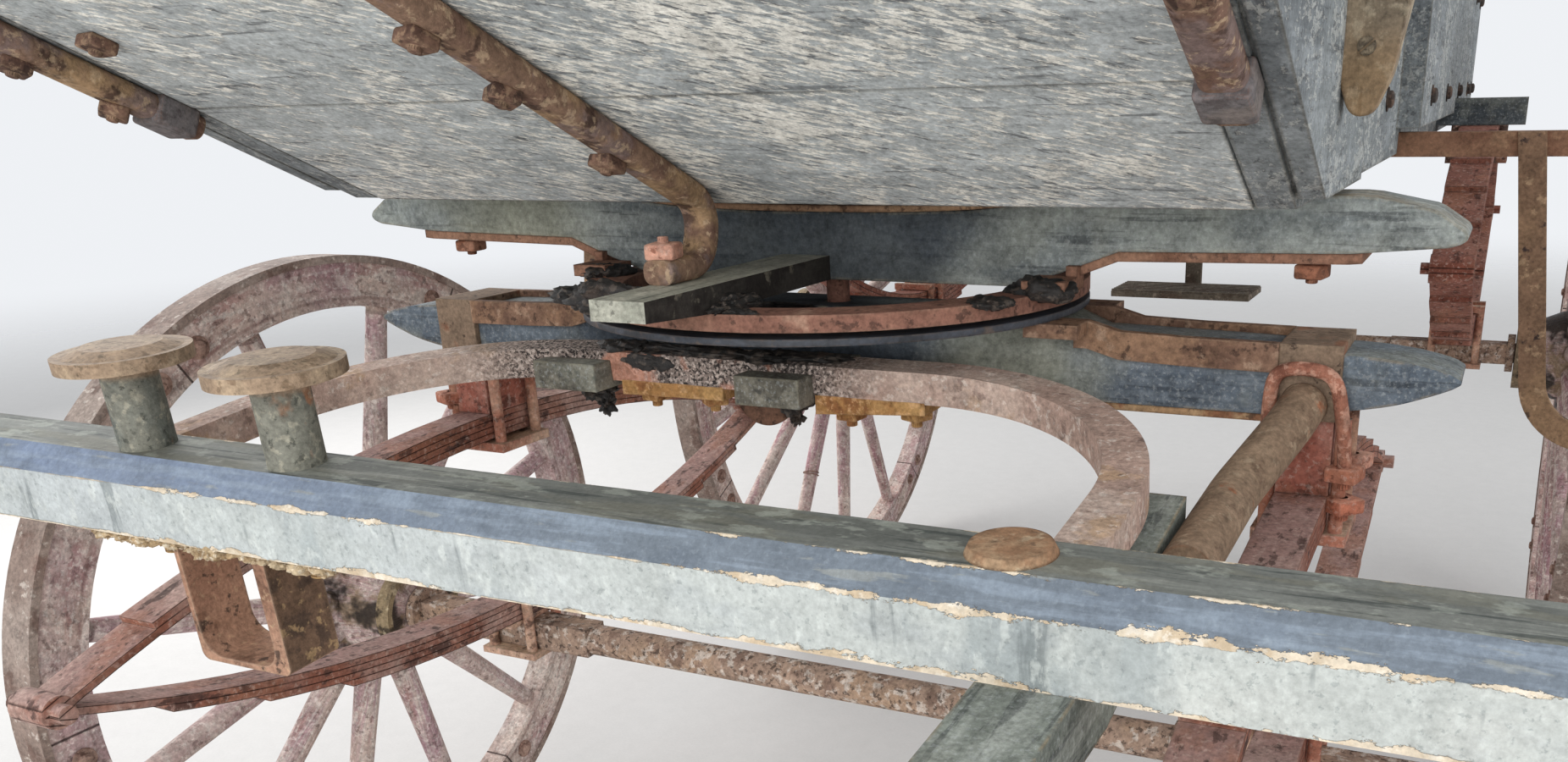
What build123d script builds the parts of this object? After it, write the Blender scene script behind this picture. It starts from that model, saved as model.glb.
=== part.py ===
import os
from math import asin, cos, radians, sin, tan

from build123d import *

os.makedirs("parts", exist_ok=True)

# Wheels and axles
TRACK = 1424
WHEELBASE = 1320
FRONT_WHEEL_R = 433
REAR_WHEEL_R = 583
TYRE_W = 42
TYRE_T = 9
FELLOE_W = 38
FELLOE_DEPTH = 52
DISH = 14
NAVE_LENGTH = 176
FRONT_NAVE_R = 68
REAR_NAVE_R = 74
NAVE_END_R = 52
FRONT_SPOKES = 12
REAR_SPOKES = 14
SPOKE_FOOT_R = 17
SPOKE_TIP_R = 12.5
BOX_R = 25
BAND_W = 20
BAND_T = 5
CAP_R = 34
CAP_LENGTH = 40
CAP_WALL = 5
ARM_R = 17
AXLE = 34
COLLAR_R = 32
COLLAR_T = 12
AXLE_MID_R = 18
AXLE_BLOCK = 210
NUT_R = 24
NUT_T = 14

# Springs
SPRING_INSET = 264
LEAF_W = 43
LEAF_T = 7
EYE_R = 14
FRONT_LEAVES = 4
FRONT_SPRING_HALF = 552
FRONT_SPRING_HEIGHT = 250
REAR_SPRING_INSET = 200
REAR_LEAF_W = 58
REAR_LEAF_T = 9
REAR_EYE_R = 20
REAR_LEAVES = 5
REAR_SPRING_HALF = 470
REAR_SPRING_HEIGHT = 352
SPRING_PAD = 6
LEAF_STEP = 0.17
EYE_BOLT_R = 8
EYE_BOLT_OUT = 12
U_BOLT_R = 6
CLIP_PLATE_T = 8

# Beds, wheel plates and king bolt
BED_DEPTH = 70
UPPER_BED_HALF = 557
LOWER_BED_HALF = 564
UPPER_BED_TIP = 33
UPPER_BED_END = 44
UPPER_BED_MID = 61
LOWER_BED_DEPTH = 54
RING_R = 240
RING_W = 38
UPPER_RING_T = 14
LOWER_RING_T = 6
RING_GAP = 5
LOWER_BED_RISE = 18
BED_CROWN = 18
BOLSTER_FLAT = 228
BED_IRON_T = 8
RING_EAR_X = 214
RING_EAR_REACH = 38
LOOP_IRON_H = 24
LOOP_IRON_T = 9
LOOP_IRON_X = 250
LOOP_EAR_T = 12
BED_PLATE_T = 6
BED_PLATE_X = 250
STRAP_HALF = 25
STRAP_IRON = 7
PERCH_LEFT = -39
PERCH_RIGHT = 11
PERCH_FRONT = -325
PERCH_REAR = 300
PERCH_H = 22
PERCH_TIP_H = 16
KING_R = 11
KING_HEAD_R = 25
KING_NUT_R = 22

# Body
SILL_Z = 948
SILL_H = 52
SILL_W = 50
BODY_INSET = 295
SIDE_T = 28
BOARD_T = 24
CHEEK_T = 21
CHEEK_BACK = 35
CHEEK_RISE = 8
CHEEK_GROOVE = 4
OUTER_T = 26
OUTER_FRONT = 560
OUTER_RISE = 30
SIDE_H = 330
RAIL_H = 34
RAIL_W = 68
FLOOR_T = 22
FLOOR_PLANKS = 7
PLANK_GAP = 2
BODY_FRONT = -150
BODY_REAR = 1880
BEARER_W = 60
BEARER_H = 40
SECOND_BEARER = 260
THIRD_BEARER = 700
REAR_BED_HALF = 580
REAR_BED_DEPTH = 60
TAIL_T = 25
TAIL_GAP = 5
HINGE_X = 290
HINGE_PIN_R = 6
HINGE_EYE_R = 13
STRAP_W = 40
STRAP_T = 6
FOOTBOARD_TILT = 25.3
FOOTBOARD_Y = -161
FOOTBOARD_RISE = 4
FOOTBOARD_W = 189
FOOTBOARD_PLANKS = 2
FOOTBOARD_T = 24
FOOTBOARD_LIP = 30
STAY_W = 28
STAY_T = 20
STAY_EDGE = 8
STAY_OUT = 15
STAY_START = 175
STAY_BACK = 12
MIDDLE_STAY_X = -30
HOOK_Y = -188
HOOK_END = -247
HOOK_BEND = 27
SEAT_W = 330
SEAT_T = 26
SEAT_Y = 30

# Draught gear
BAR_Y = -489
BAR_Z = 758.6
BAR_HALF = 655
BAR_CHAMFER = 18
BAR_TOP = 51
BAR_FACE = 45
BAR_LEAN = 3.1
ROLLER_IN = 135
ROLLER_SPAN = 167
ROLLER_R = 21
ROLLER_H = 67
ROLLER_HEAD_R = 50
ROLLER_HEAD_T = 11
BRACKET_IN = 124.5
BRACKET_W = 103
BRACKET_T = 5
BRACKET_THICK = 13
BRACKET_BEND = 20
BRACKET_FRONT = 23
BRACKET_DEPTH = 50
BRACKET_DROP = 118
FOOT_T = 7
FOOT_OUT = 32
NUT_END = 28
BAR_BOLT_X = 342
BAR_BOLT_Y = 45
BAR_BOLT_R = 8
BAR_BOLT_HEAD_R = 28
BAR_BOLT_HEAD_T = 6
SWEEP_HALF = 415
SWEEP_SHIFT = -28
SWEEP_W = 32
SWEEP_T = 28
SWEEP_CORNER = 240
SWEEP_FRONT_Y = -96
SWEEP_RISE = 12
SWEEP_TILT = 6.5
FUTCHELL_IN = 83
FUTCHELL_W = 60
FUTCHELL_H = 50
FUTCHELL_FRONT = -596
FUTCHELL_REAR = -230
FUTCHELL_RISE = 42
SHAFT_PIN_R = 9
SHAFT_PIN_BACK = 26
STAY_ROD_R = 19
STAY_ROD_BEND = 120
STUB_FRONT = -155
STUB_TOP = 28
STUB_FOOT = 2

# Steps
STEP_BAR_HALF = 770
STEP_BAR_Y = 600
STEP_BAR_DROP = 4
STEP_BAR_H = 28
LOOP_X = 589
LOOP_LEAN = 7
LOOP_SPAN = 144
LOOP_W = 30
LOOP_T = 12
LOOP_DROP = 300
TREAD_Z = 588
TREAD_T = 12
TREAD_LEFT = -225
TREAD_RIGHT = 80
TREAD_DEPTH = 150
TREAD_RIBS = 8
RIB_PITCH = 18
HANGER_W = 36

# Fits
RUNNING_FIT = 0.05
PIN_PLAY = 1.5

# Heights that follow from the sizes above
FRONT_AXLE_TOP = FRONT_WHEEL_R + AXLE / 2
REAR_AXLE_TOP = REAR_WHEEL_R + AXLE / 2
FRONT_SPRING_Z = FRONT_AXLE_TOP + SPRING_PAD
REAR_SPRING_Z = REAR_AXLE_TOP + SPRING_PAD
UPPER_BED_BASE = SILL_Z - UPPER_BED_MID - BED_CROWN
UPPER_RING_Z = UPPER_BED_BASE - UPPER_RING_T
PERCH_TOP = UPPER_BED_BASE + PERCH_H
REAR_BED_BASE = REAR_SPRING_Z + REAR_SPRING_HEIGHT
REAR_BED_Y = WHEELBASE - REAR_BED_DEPTH / 2
LOWER_BED_TOP = UPPER_RING_Z - RING_GAP - LOWER_RING_T
LOWER_BED_END = LOWER_BED_TOP - LOWER_BED_RISE
LOWER_BED_BASE = LOWER_BED_END - LOWER_BED_DEPTH
FLOOR_Z = SILL_Z + SILL_H
FLOOR_TOP = FLOOR_Z + FLOOR_T
SIDE_TOP = FLOOR_TOP + SIDE_H
KING_TOP = SILL_Z - BED_CROWN
WHEEL_X = TRACK / 2
SPRING_X = WHEEL_X - SPRING_INSET
REAR_SPRING_X = WHEEL_X - REAR_SPRING_INSET
BODY_HALF = WHEEL_X - BODY_INSET
STAY_X = BODY_HALF + STAY_OUT
ROLLER_MID = ROLLER_IN - SPRING_X
BRACKET_X = BRACKET_IN - SPRING_X
FUTCHELL_X = SPRING_X - FUTCHELL_IN
FOOTBOARD_Z = SILL_Z + FOOTBOARD_RISE
TILT = radians(FOOTBOARD_TILT)
FOOTBOARD_END = FOOTBOARD_Y - FOOTBOARD_W * FOOTBOARD_PLANKS * cos(TILT)
REAR_END = max(BODY_REAR + 7 + 2 * HINGE_EYE_R, WHEELBASE + REAR_WHEEL_R)
Y_SHIFT = -(min(FOOTBOARD_END, FUTCHELL_FRONT) + REAR_END) / 2


def block(x0, x1, y0, y1, z0, z1):
    size = Box(x1 - x0, y1 - y0, z1 - z0)
    return Pos((x0 + x1) / 2, (y0 + y1) / 2, (z0 + z1) / 2) * size


def rod(a, b, r0, r1=None):
    a, b = Vector(*a), Vector(*b)
    seat = (Align.CENTER, Align.CENTER, Align.MIN)
    length = (b - a).length
    if r1 is None or r1 == r0:
        form = Cylinder(r0, length, align=seat)
    else:
        form = Cone(r0, r1, length, align=seat)
    return Plane(origin=a, z_dir=b - a) * form


def slab(points, direction, amount):
    face = make_face(Polyline(*points, close=True))
    return extrude(face, amount=amount, dir=direction)


def turned(points):
    face = make_face(Polyline(*[(x, r, 0) for x, r in points], close=True))
    return revolve(face, axis=Axis.X)


def fuse(pieces):
    pieces = list(pieces)
    whole = pieces[0]
    for piece in pieces[1:]:
        whole = whole + piece
    return whole


def save(node, *solids):
    pieces = []
    for solid in solids:
        pieces.extend(solid.solids())
    moved = [Pos(0, Y_SHIFT, 0) * piece for piece in pieces]
    shape = moved[0] if len(moved) == 1 else Compound(children=moved)
    export_step(shape, f"parts/{node}.step")


# Wheels: nave, spokes and felloes are wood, box, bands and cap are iron
def wheel_wood(radius, nave_r, spokes):
    half = NAVE_LENGTH / 2
    rim_r = radius - TYRE_T
    nave = turned([
        (-half, BOX_R), (-half, NAVE_END_R), (-half + BAND_W, NAVE_END_R + 2),
        (-22, nave_r), (22, nave_r), (half - BAND_W, NAVE_END_R + 2),
        (half, NAVE_END_R), (half, BOX_R)])
    felloes = Rot(0, 90, 0) * (
        Cylinder(rim_r, FELLOE_W) - Cylinder(rim_r - FELLOE_DEPTH, FELLOE_W + 2))
    felloes = Pos(DISH, 0, 0) * felloes
    arms = []
    for i in range(spokes):
        a = radians(360 * (i + 0.5) / spokes)
        foot = nave_r - 12
        tip = rim_r - FELLOE_DEPTH + 8
        arms.append(rod((0, foot * cos(a), foot * sin(a)),
                        (DISH, tip * cos(a), tip * sin(a)), SPOKE_FOOT_R, SPOKE_TIP_R))
    return fuse([nave, felloes] + arms)


def wheel_iron():
    half = NAVE_LENGTH / 2
    inner = ARM_R + RUNNING_FIT
    box = turned([(-half, inner), (-half, BOX_R), (half, BOX_R), (half, inner)])
    end = half + CAP_LENGTH
    cap = turned([
        (half, CAP_R - CAP_WALL), (half, CAP_R), (end - 8, CAP_R), (end, CAP_R - 10),
        (end, 0), (end - CAP_WALL, 0), (end - CAP_WALL, CAP_R - CAP_WALL)])
    outer = NAVE_END_R + 2
    bands = []
    for side in (-1, 1):
        a, b = side * half, side * (half - BAND_W)
        bands.append(turned([
            (a, NAVE_END_R), (a, outer + BAND_T), (b, outer + BAND_T), (b, outer)]))
    flange = turned([(half - 4, BOX_R), (half, BOX_R), (half, CAP_R), (half - 4, CAP_R)])
    return box, cap, bands, flange


def wheel_tyre(radius):
    tyre = Cylinder(radius, TYRE_W) - Cylinder(radius - TYRE_T, TYRE_W + 2)
    return Pos(DISH, 0, 0) * (Rot(0, 90, 0) * tyre)


def wheel(tag, side, radius, nave_r, spokes, y):
    centre = Pos(side * (WHEEL_X - DISH), y, radius)
    wood = wheel_wood(radius, nave_r, spokes)
    box, cap, bands, flange = wheel_iron()
    wood = wood - flange
    iron = [box + cap + flange] + bands
    tyre = wheel_tyre(radius)
    turn = Rot(0, 0, 0) if side > 0 else Rot(0, 0, 180)
    save(f"wood_{tag}", centre * turn * wood)
    save(f"iron_{tag}", *[centre * turn * piece for piece in iron])
    save(f"tyre_{tag}", centre * turn * tyre)


CORNERS = [
    # tag, side, wheel radius, nave radius, spokes, axle position
    ("fl", -1, FRONT_WHEEL_R, FRONT_NAVE_R, FRONT_SPOKES, 0),
    ("fr", 1, FRONT_WHEEL_R, FRONT_NAVE_R, FRONT_SPOKES, 0),
    ("rl", -1, REAR_WHEEL_R, REAR_NAVE_R, REAR_SPOKES, WHEELBASE),
    ("rr", 1, REAR_WHEEL_R, REAR_NAVE_R, REAR_SPOKES, WHEELBASE),
]
for tag, side, radius, nave_r, spokes, y in CORNERS:
    wheel(tag, side, radius, nave_r, spokes, y)


# Axles: square at the springs, rounded between them, with turned arms
def axle(y, z, spring_x):
    nave_in = WHEEL_X - DISH - NAVE_LENGTH / 2 - PIN_PLAY
    nave_out = WHEEL_X - DISH + NAVE_LENGTH / 2 + PIN_PLAY
    x0 = spring_x - AXLE_BLOCK / 2
    pieces = [rod((-x0, y, z), (x0, y, z), AXLE_MID_R)]
    for side in (-1, 1):
        a, b = sorted((side * x0, side * (nave_in - COLLAR_T)))
        pieces.append(block(a, b, y - AXLE / 2, y + AXLE / 2, z - AXLE / 2, z + AXLE / 2))
        pieces.append(rod((side * (nave_in - COLLAR_T), y, z), (side * nave_in, y, z), COLLAR_R))
        pieces.append(rod((side * nave_in, y, z), (side * nave_out, y, z), ARM_R))
        pieces.append(rod((side * nave_out, y, z), (side * (nave_out + NUT_T), y, z), NUT_R))
    return fuse(pieces)


save("front_axle", axle(0, FRONT_WHEEL_R, SPRING_X))
save("rear_axle", axle(WHEELBASE, REAR_WHEEL_R, REAR_SPRING_X))


# Springs: full elliptic, the longest leaf of each pack on the inside
def leaf(x, y, z0, rise, half, index, side, width, thick):
    radius = (half * half + rise * rise) / (2 * rise)
    centre = z0 + side * radius
    inner = radius + (index - 0.5) * thick
    outer = inner + thick
    reach = half * (1 - LEAF_STEP * index)
    angle = asin(reach / radius)

    def point(r, a):
        return (x - width / 2, y + r * sin(a), centre - side * r * cos(a))

    edges = [
        ThreePointArc(point(inner, -angle), point(inner, 0), point(inner, angle)),
        Line(point(inner, angle), point(outer, angle)),
        ThreePointArc(point(outer, angle), point(outer, 0), point(outer, -angle)),
        Line(point(outer, -angle), point(inner, -angle)),
    ]
    return extrude(make_face(edges), amount=width, dir=(1, 0, 0))


def elliptic(x, y, base, height, half, leaves, width, thick, eye_r):
    mid = base + height / 2
    rise = height / 2 - (leaves - 0.5) * thick
    eyes = []
    for end in (-1, 1):
        ye = y + end * half
        out = width / 2 + EYE_BOLT_OUT
        eyes.append(rod((x - width / 2, ye, mid), (x + width / 2, ye, mid), eye_r))
        eyes.append(rod((x - out, ye, mid), (x + out, ye, mid), EYE_BOLT_R))
    lower = [leaf(x, y, mid - rise, rise, half, i, 1, width, thick) for i in range(leaves)]
    upper = [leaf(x, y, mid + rise, rise, half, i, -1, width, thick) for i in range(leaves)]
    eye_space = fuse(eyes)
    lower = fuse(lower + eyes)
    upper = fuse(upper) - eye_space - lower
    return lower, upper


# U-bolts and plates that hold the springs on the axles
def saddle_set(x, y, base, top, width, axle_z):
    dy = AXLE / 2 + U_BOLT_R + 1
    dx = width / 2 + U_BOLT_R + 1
    bolts = []
    for sx in (-1, 1):
        for sy in (-1, 1):
            bolts.append(rod((x + sx * dx, y + sy * dy, axle_z - AXLE / 2 - CLIP_PLATE_T),
                             (x + sx * dx, y + sy * dy, top + 8), U_BOLT_R))
    w, d = dx + U_BOLT_R + 4, dy + U_BOLT_R + 4
    plate = block(x - w, x + w, y - d, y + d,
                  axle_z - AXLE / 2 - CLIP_PLATE_T, axle_z - AXLE / 2)
    bridges = [block(x - dx - U_BOLT_R, x + dx + U_BOLT_R, y + s * dy - U_BOLT_R,
                     y + s * dy + U_BOLT_R, top + 2, top + 14) for s in (-1, 1)]
    pad = block(x - width / 2, x + width / 2, y - 45, y + 45, axle_z + AXLE / 2, base)
    return fuse([plate] + bolts + bridges), pad


# Bolts that hang a bed on a spring: four rods and a plate under the main leaf
def hangers(x, y, width, spring_top, pack, bed_base):
    under = spring_top - pack
    dx = width / 2 + U_BOLT_R + 1.5
    dy = BED_DEPTH / 2 - U_BOLT_R
    w, d = dx + 10, dy + 10
    ties = [rod((x + sx * dx, y + sy * dy, under - 14), (x + sx * dx, y + sy * dy, bed_base), U_BOLT_R)
            for sx in (-1, 1) for sy in (-1, 1)]
    plate = block(x - w, x + w, y - d, y + d, under - 14, under - 4)
    return fuse(ties + [plate])


SPRINGS = [
    # name, x, y, base, height, half length, leaves, leaf width, leaf thickness, eye radius, axle height
    ("front", SPRING_X, 0, FRONT_SPRING_Z, FRONT_SPRING_HEIGHT, FRONT_SPRING_HALF,
     FRONT_LEAVES, LEAF_W, LEAF_T, EYE_R, FRONT_WHEEL_R),
    ("rear", REAR_SPRING_X, WHEELBASE, REAR_SPRING_Z, REAR_SPRING_HEIGHT, REAR_SPRING_HALF,
     REAR_LEAVES, REAR_LEAF_W, REAR_LEAF_T, REAR_EYE_R, REAR_WHEEL_R),
]
for name, away, y, base, height, half, leaves, width, thick, eye_r, axle_z in SPRINGS:
    lowers, uppers, hold = [], [], []
    for x in (-away, away):
        lower, upper = elliptic(x, y, base, height, half, leaves, width, thick, eye_r)
        lowers.append(lower)
        uppers.append(upper)
        bolts, pad = saddle_set(x, y, base, base + leaves * thick, width, axle_z)
        hold.append(bolts - lower)
        hold.append(pad)
    save(f"{name}_spring_lower", *lowers)
    save(f"{name}_spring_upper", *uppers)
    save(f"{name}_axle_clips", *hold)


# Upper bed: boat-shaped timber under the body's front end
def bed(profile, depth):
    points = [(x, -depth / 2, z) for x, z in profile]
    return slab(points, (0, 1, 0), depth)


upper_profile = [
    (0, KING_TOP), (60, KING_TOP), (150, KING_TOP + 3), (300, SILL_Z), (480, SILL_Z),
    (530, SILL_Z - 10), (UPPER_BED_HALF, SILL_Z - UPPER_BED_TIP + 5),
    (UPPER_BED_HALF - 8, SILL_Z - UPPER_BED_TIP - 4), (470, SILL_Z - UPPER_BED_END),
    (285, SILL_Z - UPPER_BED_END - 3), (235, SILL_Z - UPPER_BED_END - 22),
    (195, UPPER_BED_BASE), (0, UPPER_BED_BASE)]


def closed(profile):
    left = [(-x, z) for x, z in reversed(profile) if x > 0]
    return profile + left


upper_bed = bed(closed(upper_profile), BED_DEPTH)
king_hole = rod((0, 0, LOWER_BED_BASE - 60), (0, 0, SILL_Z), KING_R)
upper_bed = upper_bed - king_hole
save("upper_bed", upper_bed)

# Irons along the bed's underside that end in an ear on the wheel plate
front_face = -BED_DEPTH / 2
ear_end = RING_EAR_X + RING_EAR_REACH
drop = Pos(0, 0, -BED_IRON_T) * upper_bed
irons = []
for s in (-1, 1):
    a, b = sorted((s * (ear_end - 10), s * 480))
    zone = block(a, b, front_face, -front_face, SILL_Z - 120, SILL_Z - 20)
    strap = (drop & zone) - upper_bed
    a, b = sorted((s * RING_EAR_X, s * ear_end))
    ear = block(a, b, front_face - 42, front_face, UPPER_BED_BASE, UPPER_BED_BASE + 11)
    a, b = sorted((s * (ear_end - 10), s * ear_end))
    neck = block(a, b, front_face - 8, front_face + 12, UPPER_BED_BASE, UPPER_BED_BASE + 20)
    irons.append(fuse([strap, ear, neck]) - upper_bed)
save("upper_bed_irons", *irons)

# Upper wheel plate with the lengthwise block above its front
upper_ring = Cylinder(RING_R, UPPER_RING_T) - Cylinder(RING_R - RING_W, UPPER_RING_T + 2)
upper_ring = Pos(0, 0, UPPER_RING_Z + UPPER_RING_T / 2) * upper_ring
save("upper_ring", upper_ring)
perch_side = [
    (front_face, UPPER_BED_BASE), (front_face, PERCH_TOP), (PERCH_FRONT, PERCH_TOP),
    (PERCH_FRONT, PERCH_TOP - PERCH_TIP_H), (-RING_R, UPPER_BED_BASE)]
perch = slab([(PERCH_LEFT, y, z) for y, z in perch_side], (1, 0, 0), PERCH_RIGHT - PERCH_LEFT)
perch_tail = block(PERCH_LEFT, PERCH_RIGHT, -front_face, PERCH_REAR, UPPER_BED_BASE, PERCH_TOP)
save("perch_block", perch, perch_tail)

# Lower bed
lower_profile = [
    (0, LOWER_BED_TOP), (BOLSTER_FLAT, LOWER_BED_TOP), (262, LOWER_BED_END + 4),
    (420, LOWER_BED_END), (510, LOWER_BED_END - 2), (550, LOWER_BED_END - 10),
    (LOWER_BED_HALF, LOWER_BED_END - 18), (550, LOWER_BED_END - 27),
    (505, LOWER_BED_BASE + 10), (415, LOWER_BED_BASE), (0, LOWER_BED_BASE)]
lower_bed = bed(closed(lower_profile), BED_DEPTH)
lower_bore = rod((0, 0, LOWER_BED_BASE - 20), (0, 0, LOWER_BED_TOP + 20), KING_R + RUNNING_FIT)
lower_bed = lower_bed - lower_bore
save("lower_bed", lower_bed)

lower_ring = Cylinder(RING_R, LOWER_RING_T) - Cylinder(RING_R - RING_W, LOWER_RING_T + 2)
save("lower_ring", Pos(0, 0, LOWER_BED_TOP + LOWER_RING_T / 2) * lower_ring)

# Loop irons: flat bars on edge, from ears under the lower plate to the straps
strap_top = LOWER_BED_END + STRAP_IRON
loop_tops = [
    (LOOP_IRON_X, LOWER_BED_TOP), (LOOP_IRON_X + 12, LOWER_BED_TOP), (LOOP_IRON_X + 40, strap_top + 3),
    (LOOP_IRON_X + 95, strap_top + 1), (SPRING_X - STRAP_HALF, strap_top)]
loop_outline = loop_tops + [(x, z - LOOP_IRON_H) for x, z in reversed(loop_tops)]
plate_end = SPRING_X - LEAF_W / 2 - 2 * U_BOLT_R - 3
loops, plates = [], []
for s in (-1, 1):
    for face in (-1, 1):
        near = face * BED_DEPTH / 2
        a, b = sorted((near, near + face * LOOP_IRON_T))
        bar = slab([(s * x, a, z) for x, z in loop_outline], (0, 1, 0), LOOP_IRON_T)
        c, d = sorted((s * RING_EAR_X, s * (LOOP_IRON_X + 12)))
        a, b = sorted((near, near + face * 37))
        ear = block(c, d, a, b, LOWER_BED_TOP - LOOP_EAR_T, LOWER_BED_TOP)
        loops.append(bar + ear)
    a, b = sorted((s * BED_PLATE_X, s * plate_end))
    plates.append(block(a, b, front_face, -front_face, LOWER_BED_BASE - BED_PLATE_T, LOWER_BED_BASE))
save("loop_irons", *loops)
save("bed_plates", *plates)

# King bolt, held in the upper bed, turning in the lower one
king_low = LOWER_BED_BASE - 6
save("king_bolt", fuse([
    rod((0, 0, king_low - 24), (0, 0, KING_TOP), KING_R),
    rod((0, 0, king_low - 18), (0, 0, king_low), KING_NUT_R),
    rod((0, 0, KING_TOP), (0, 0, KING_TOP + 8), KING_HEAD_R),
    rod((0, 0, KING_TOP + 8), (0, 0, KING_TOP + 14), KING_HEAD_R, KING_HEAD_R - 12)]))

# Straps and saddles that hang the lower bed on its springs
spring_top = FRONT_SPRING_Z + FRONT_SPRING_HEIGHT
straps, ties, saddles = [], [], []
for s in (-1, 1):
    x = s * SPRING_X
    strap = block(x - STRAP_HALF, x + STRAP_HALF, front_face - STRAP_IRON, -front_face + STRAP_IRON,
                  LOWER_BED_BASE - 1, strap_top) - lower_bed
    saddle = block(x - LEAF_W / 2, x + LEAF_W / 2, front_face + 1, -front_face - 1,
                   spring_top, LOWER_BED_BASE + 12) - lower_bed
    tie = hangers(x, 0, LEAF_W, spring_top, FRONT_LEAVES * LEAF_T, LOWER_BED_BASE)
    straps.append(strap - saddle)
    ties.append(tie - strap)
    saddles.append(saddle)
save("bed_straps", *straps)
save("bed_bolts", *ties)
save("saddles", *saddles)


# Splinter bar, tipped forward, with its roller bolts and brackets
def lean(piece):
    pivot = Pos(0, BAR_Y, BAR_Z)
    return pivot * Rot(BAR_LEAN, 0, 0) * piece


rear = BAR_CHAMFER + BAR_TOP
bar = slab([(-BAR_HALF, 0, 0), (-BAR_HALF, BAR_CHAMFER, BAR_CHAMFER), (-BAR_HALF, rear, BAR_CHAMFER),
            (-BAR_HALF, rear, -BAR_FACE), (-BAR_HALF, 0, -BAR_FACE)], (1, 0, 0), 2 * BAR_HALF)
roller_y = BAR_CHAMFER + 24
rollers = []
holes = []
for s in (-1, 1):
    x = ROLLER_MID + s * ROLLER_SPAN / 2
    top = BAR_CHAMFER + ROLLER_H
    holes.append(rod((x, roller_y, -BAR_FACE - 1), (x, roller_y, BAR_CHAMFER + 1), 10))
    rollers.append(fuse([
        rod((x, roller_y, -BAR_FACE - NUT_END), (x, roller_y, BAR_CHAMFER), 10),
        rod((x, roller_y, BAR_CHAMFER), (x, roller_y, top), ROLLER_R),
        rod((x, roller_y, top), (x, roller_y, top + ROLLER_HEAD_T), ROLLER_HEAD_R),
        rod((x, roller_y, top + ROLLER_HEAD_T), (x, roller_y, top + ROLLER_HEAD_T + 5),
            ROLLER_HEAD_R - 6, ROLLER_HEAD_R - 20)]))
head_z = BAR_CHAMFER + BAR_BOLT_HEAD_T
stem = rod((BAR_BOLT_X, BAR_BOLT_Y, -BAR_FACE), (BAR_BOLT_X, BAR_BOLT_Y, BAR_CHAMFER), BAR_BOLT_R)
bar_head = rod((BAR_BOLT_X, BAR_BOLT_Y, BAR_CHAMFER), (BAR_BOLT_X, BAR_BOLT_Y, head_z),
               BAR_BOLT_HEAD_R, BAR_BOLT_HEAD_R - 3)
bar = bar - fuse(holes) - stem
save("splinter_bar", lean(bar))
save("bar_bolt", lean(stem + bar_head))
save("roller_bolts", *[lean(piece) for piece in rollers])


# Empty U bracket on a foot plate between the two roller bolts
def rounded_u(half, low, depth, bend):
    corners = [(-half, low), (half, low), (half, depth), (-half, depth)]
    face = make_face(Polyline(*[(x, 0, z) for x, z in corners], close=True))
    solid = extrude(face, amount=BRACKET_DEPTH, dir=(0, 1, 0))
    edges = solid.edges().filter_by(Axis.Y).sort_by(Axis.Z)[:2]
    return fillet(edges, bend)


w = BRACKET_W / 2
foot_base = -BAR_FACE - FOOT_T
low = -BAR_FACE - BRACKET_DROP
outer_u = rounded_u(w, low, foot_base, BRACKET_T + 3)
inner_half = (BRACKET_W - BRACKET_T - BRACKET_THICK) / 2
inner_u = rounded_u(inner_half, low + BRACKET_T, foot_base, BRACKET_BEND)
inner_u = Pos((BRACKET_T - BRACKET_THICK) / 2, 0, 0) * inner_u
foot_end = ROLLER_SPAN / 2 + FOOT_OUT
foot_mid = ROLLER_MID - BRACKET_X
foot = block(foot_mid - foot_end, foot_mid + foot_end, 0, BRACKET_DEPTH, foot_base, -BAR_FACE)
bracket = Pos(BRACKET_X, BRACKET_FRONT, 0) * (outer_u - inner_u + foot)
bolt_space = fuse([rod((ROLLER_MID + s * ROLLER_SPAN / 2, roller_y, -BAR_FACE - NUT_END),
                       (ROLLER_MID + s * ROLLER_SPAN / 2, roller_y, -BAR_FACE + 5), 10)
                   for s in (-1, 1)])
save("shaft_bracket_l", lean(bracket - bolt_space))

# Sweep bar: flat horseshoe from the splinter bar round the front of the bed
length = SWEEP_FRONT_Y - BAR_Y + 200


def horseshoe(inset, thick):
    w = SWEEP_HALF - inset
    r = SWEEP_CORNER - inset
    face = RectangleRounded(2 * w, 2 * (length - inset), r)
    return extrude(Pos(SWEEP_SHIFT, SWEEP_FRONT_Y - length, 0) * face, amount=thick)


hoop = horseshoe(0, SWEEP_T) - horseshoe(SWEEP_W, SWEEP_T)
hoop_z = LOWER_BED_BASE + SWEEP_RISE
hoop = Pos(0, SWEEP_FRONT_Y, hoop_z) * Rot(SWEEP_TILT, 0, 0) * Pos(0, -SWEEP_FRONT_Y, 0) * hoop
bar_zone = lean(block(-BAR_HALF, BAR_HALF, -400, rear, -400, 400))
hoop = (hoop - bar_zone).solids().sort_by(Axis.Y)[-1]
save("sweep_bar", hoop)

# Two blocks that hold the sweep against the bed
STUBS = [
    # left edge, right edge
    (-249, -178),
    (-26, 39),
]
stubs = []
for x0, x1 in STUBS:
    stub = block(x0, x1, STUB_FRONT, front_face, LOWER_BED_BASE + STUB_FOOT, LOWER_BED_BASE + STUB_TOP)
    stubs.append(stub - hoop)
save("under_blocks", *stubs)

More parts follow.
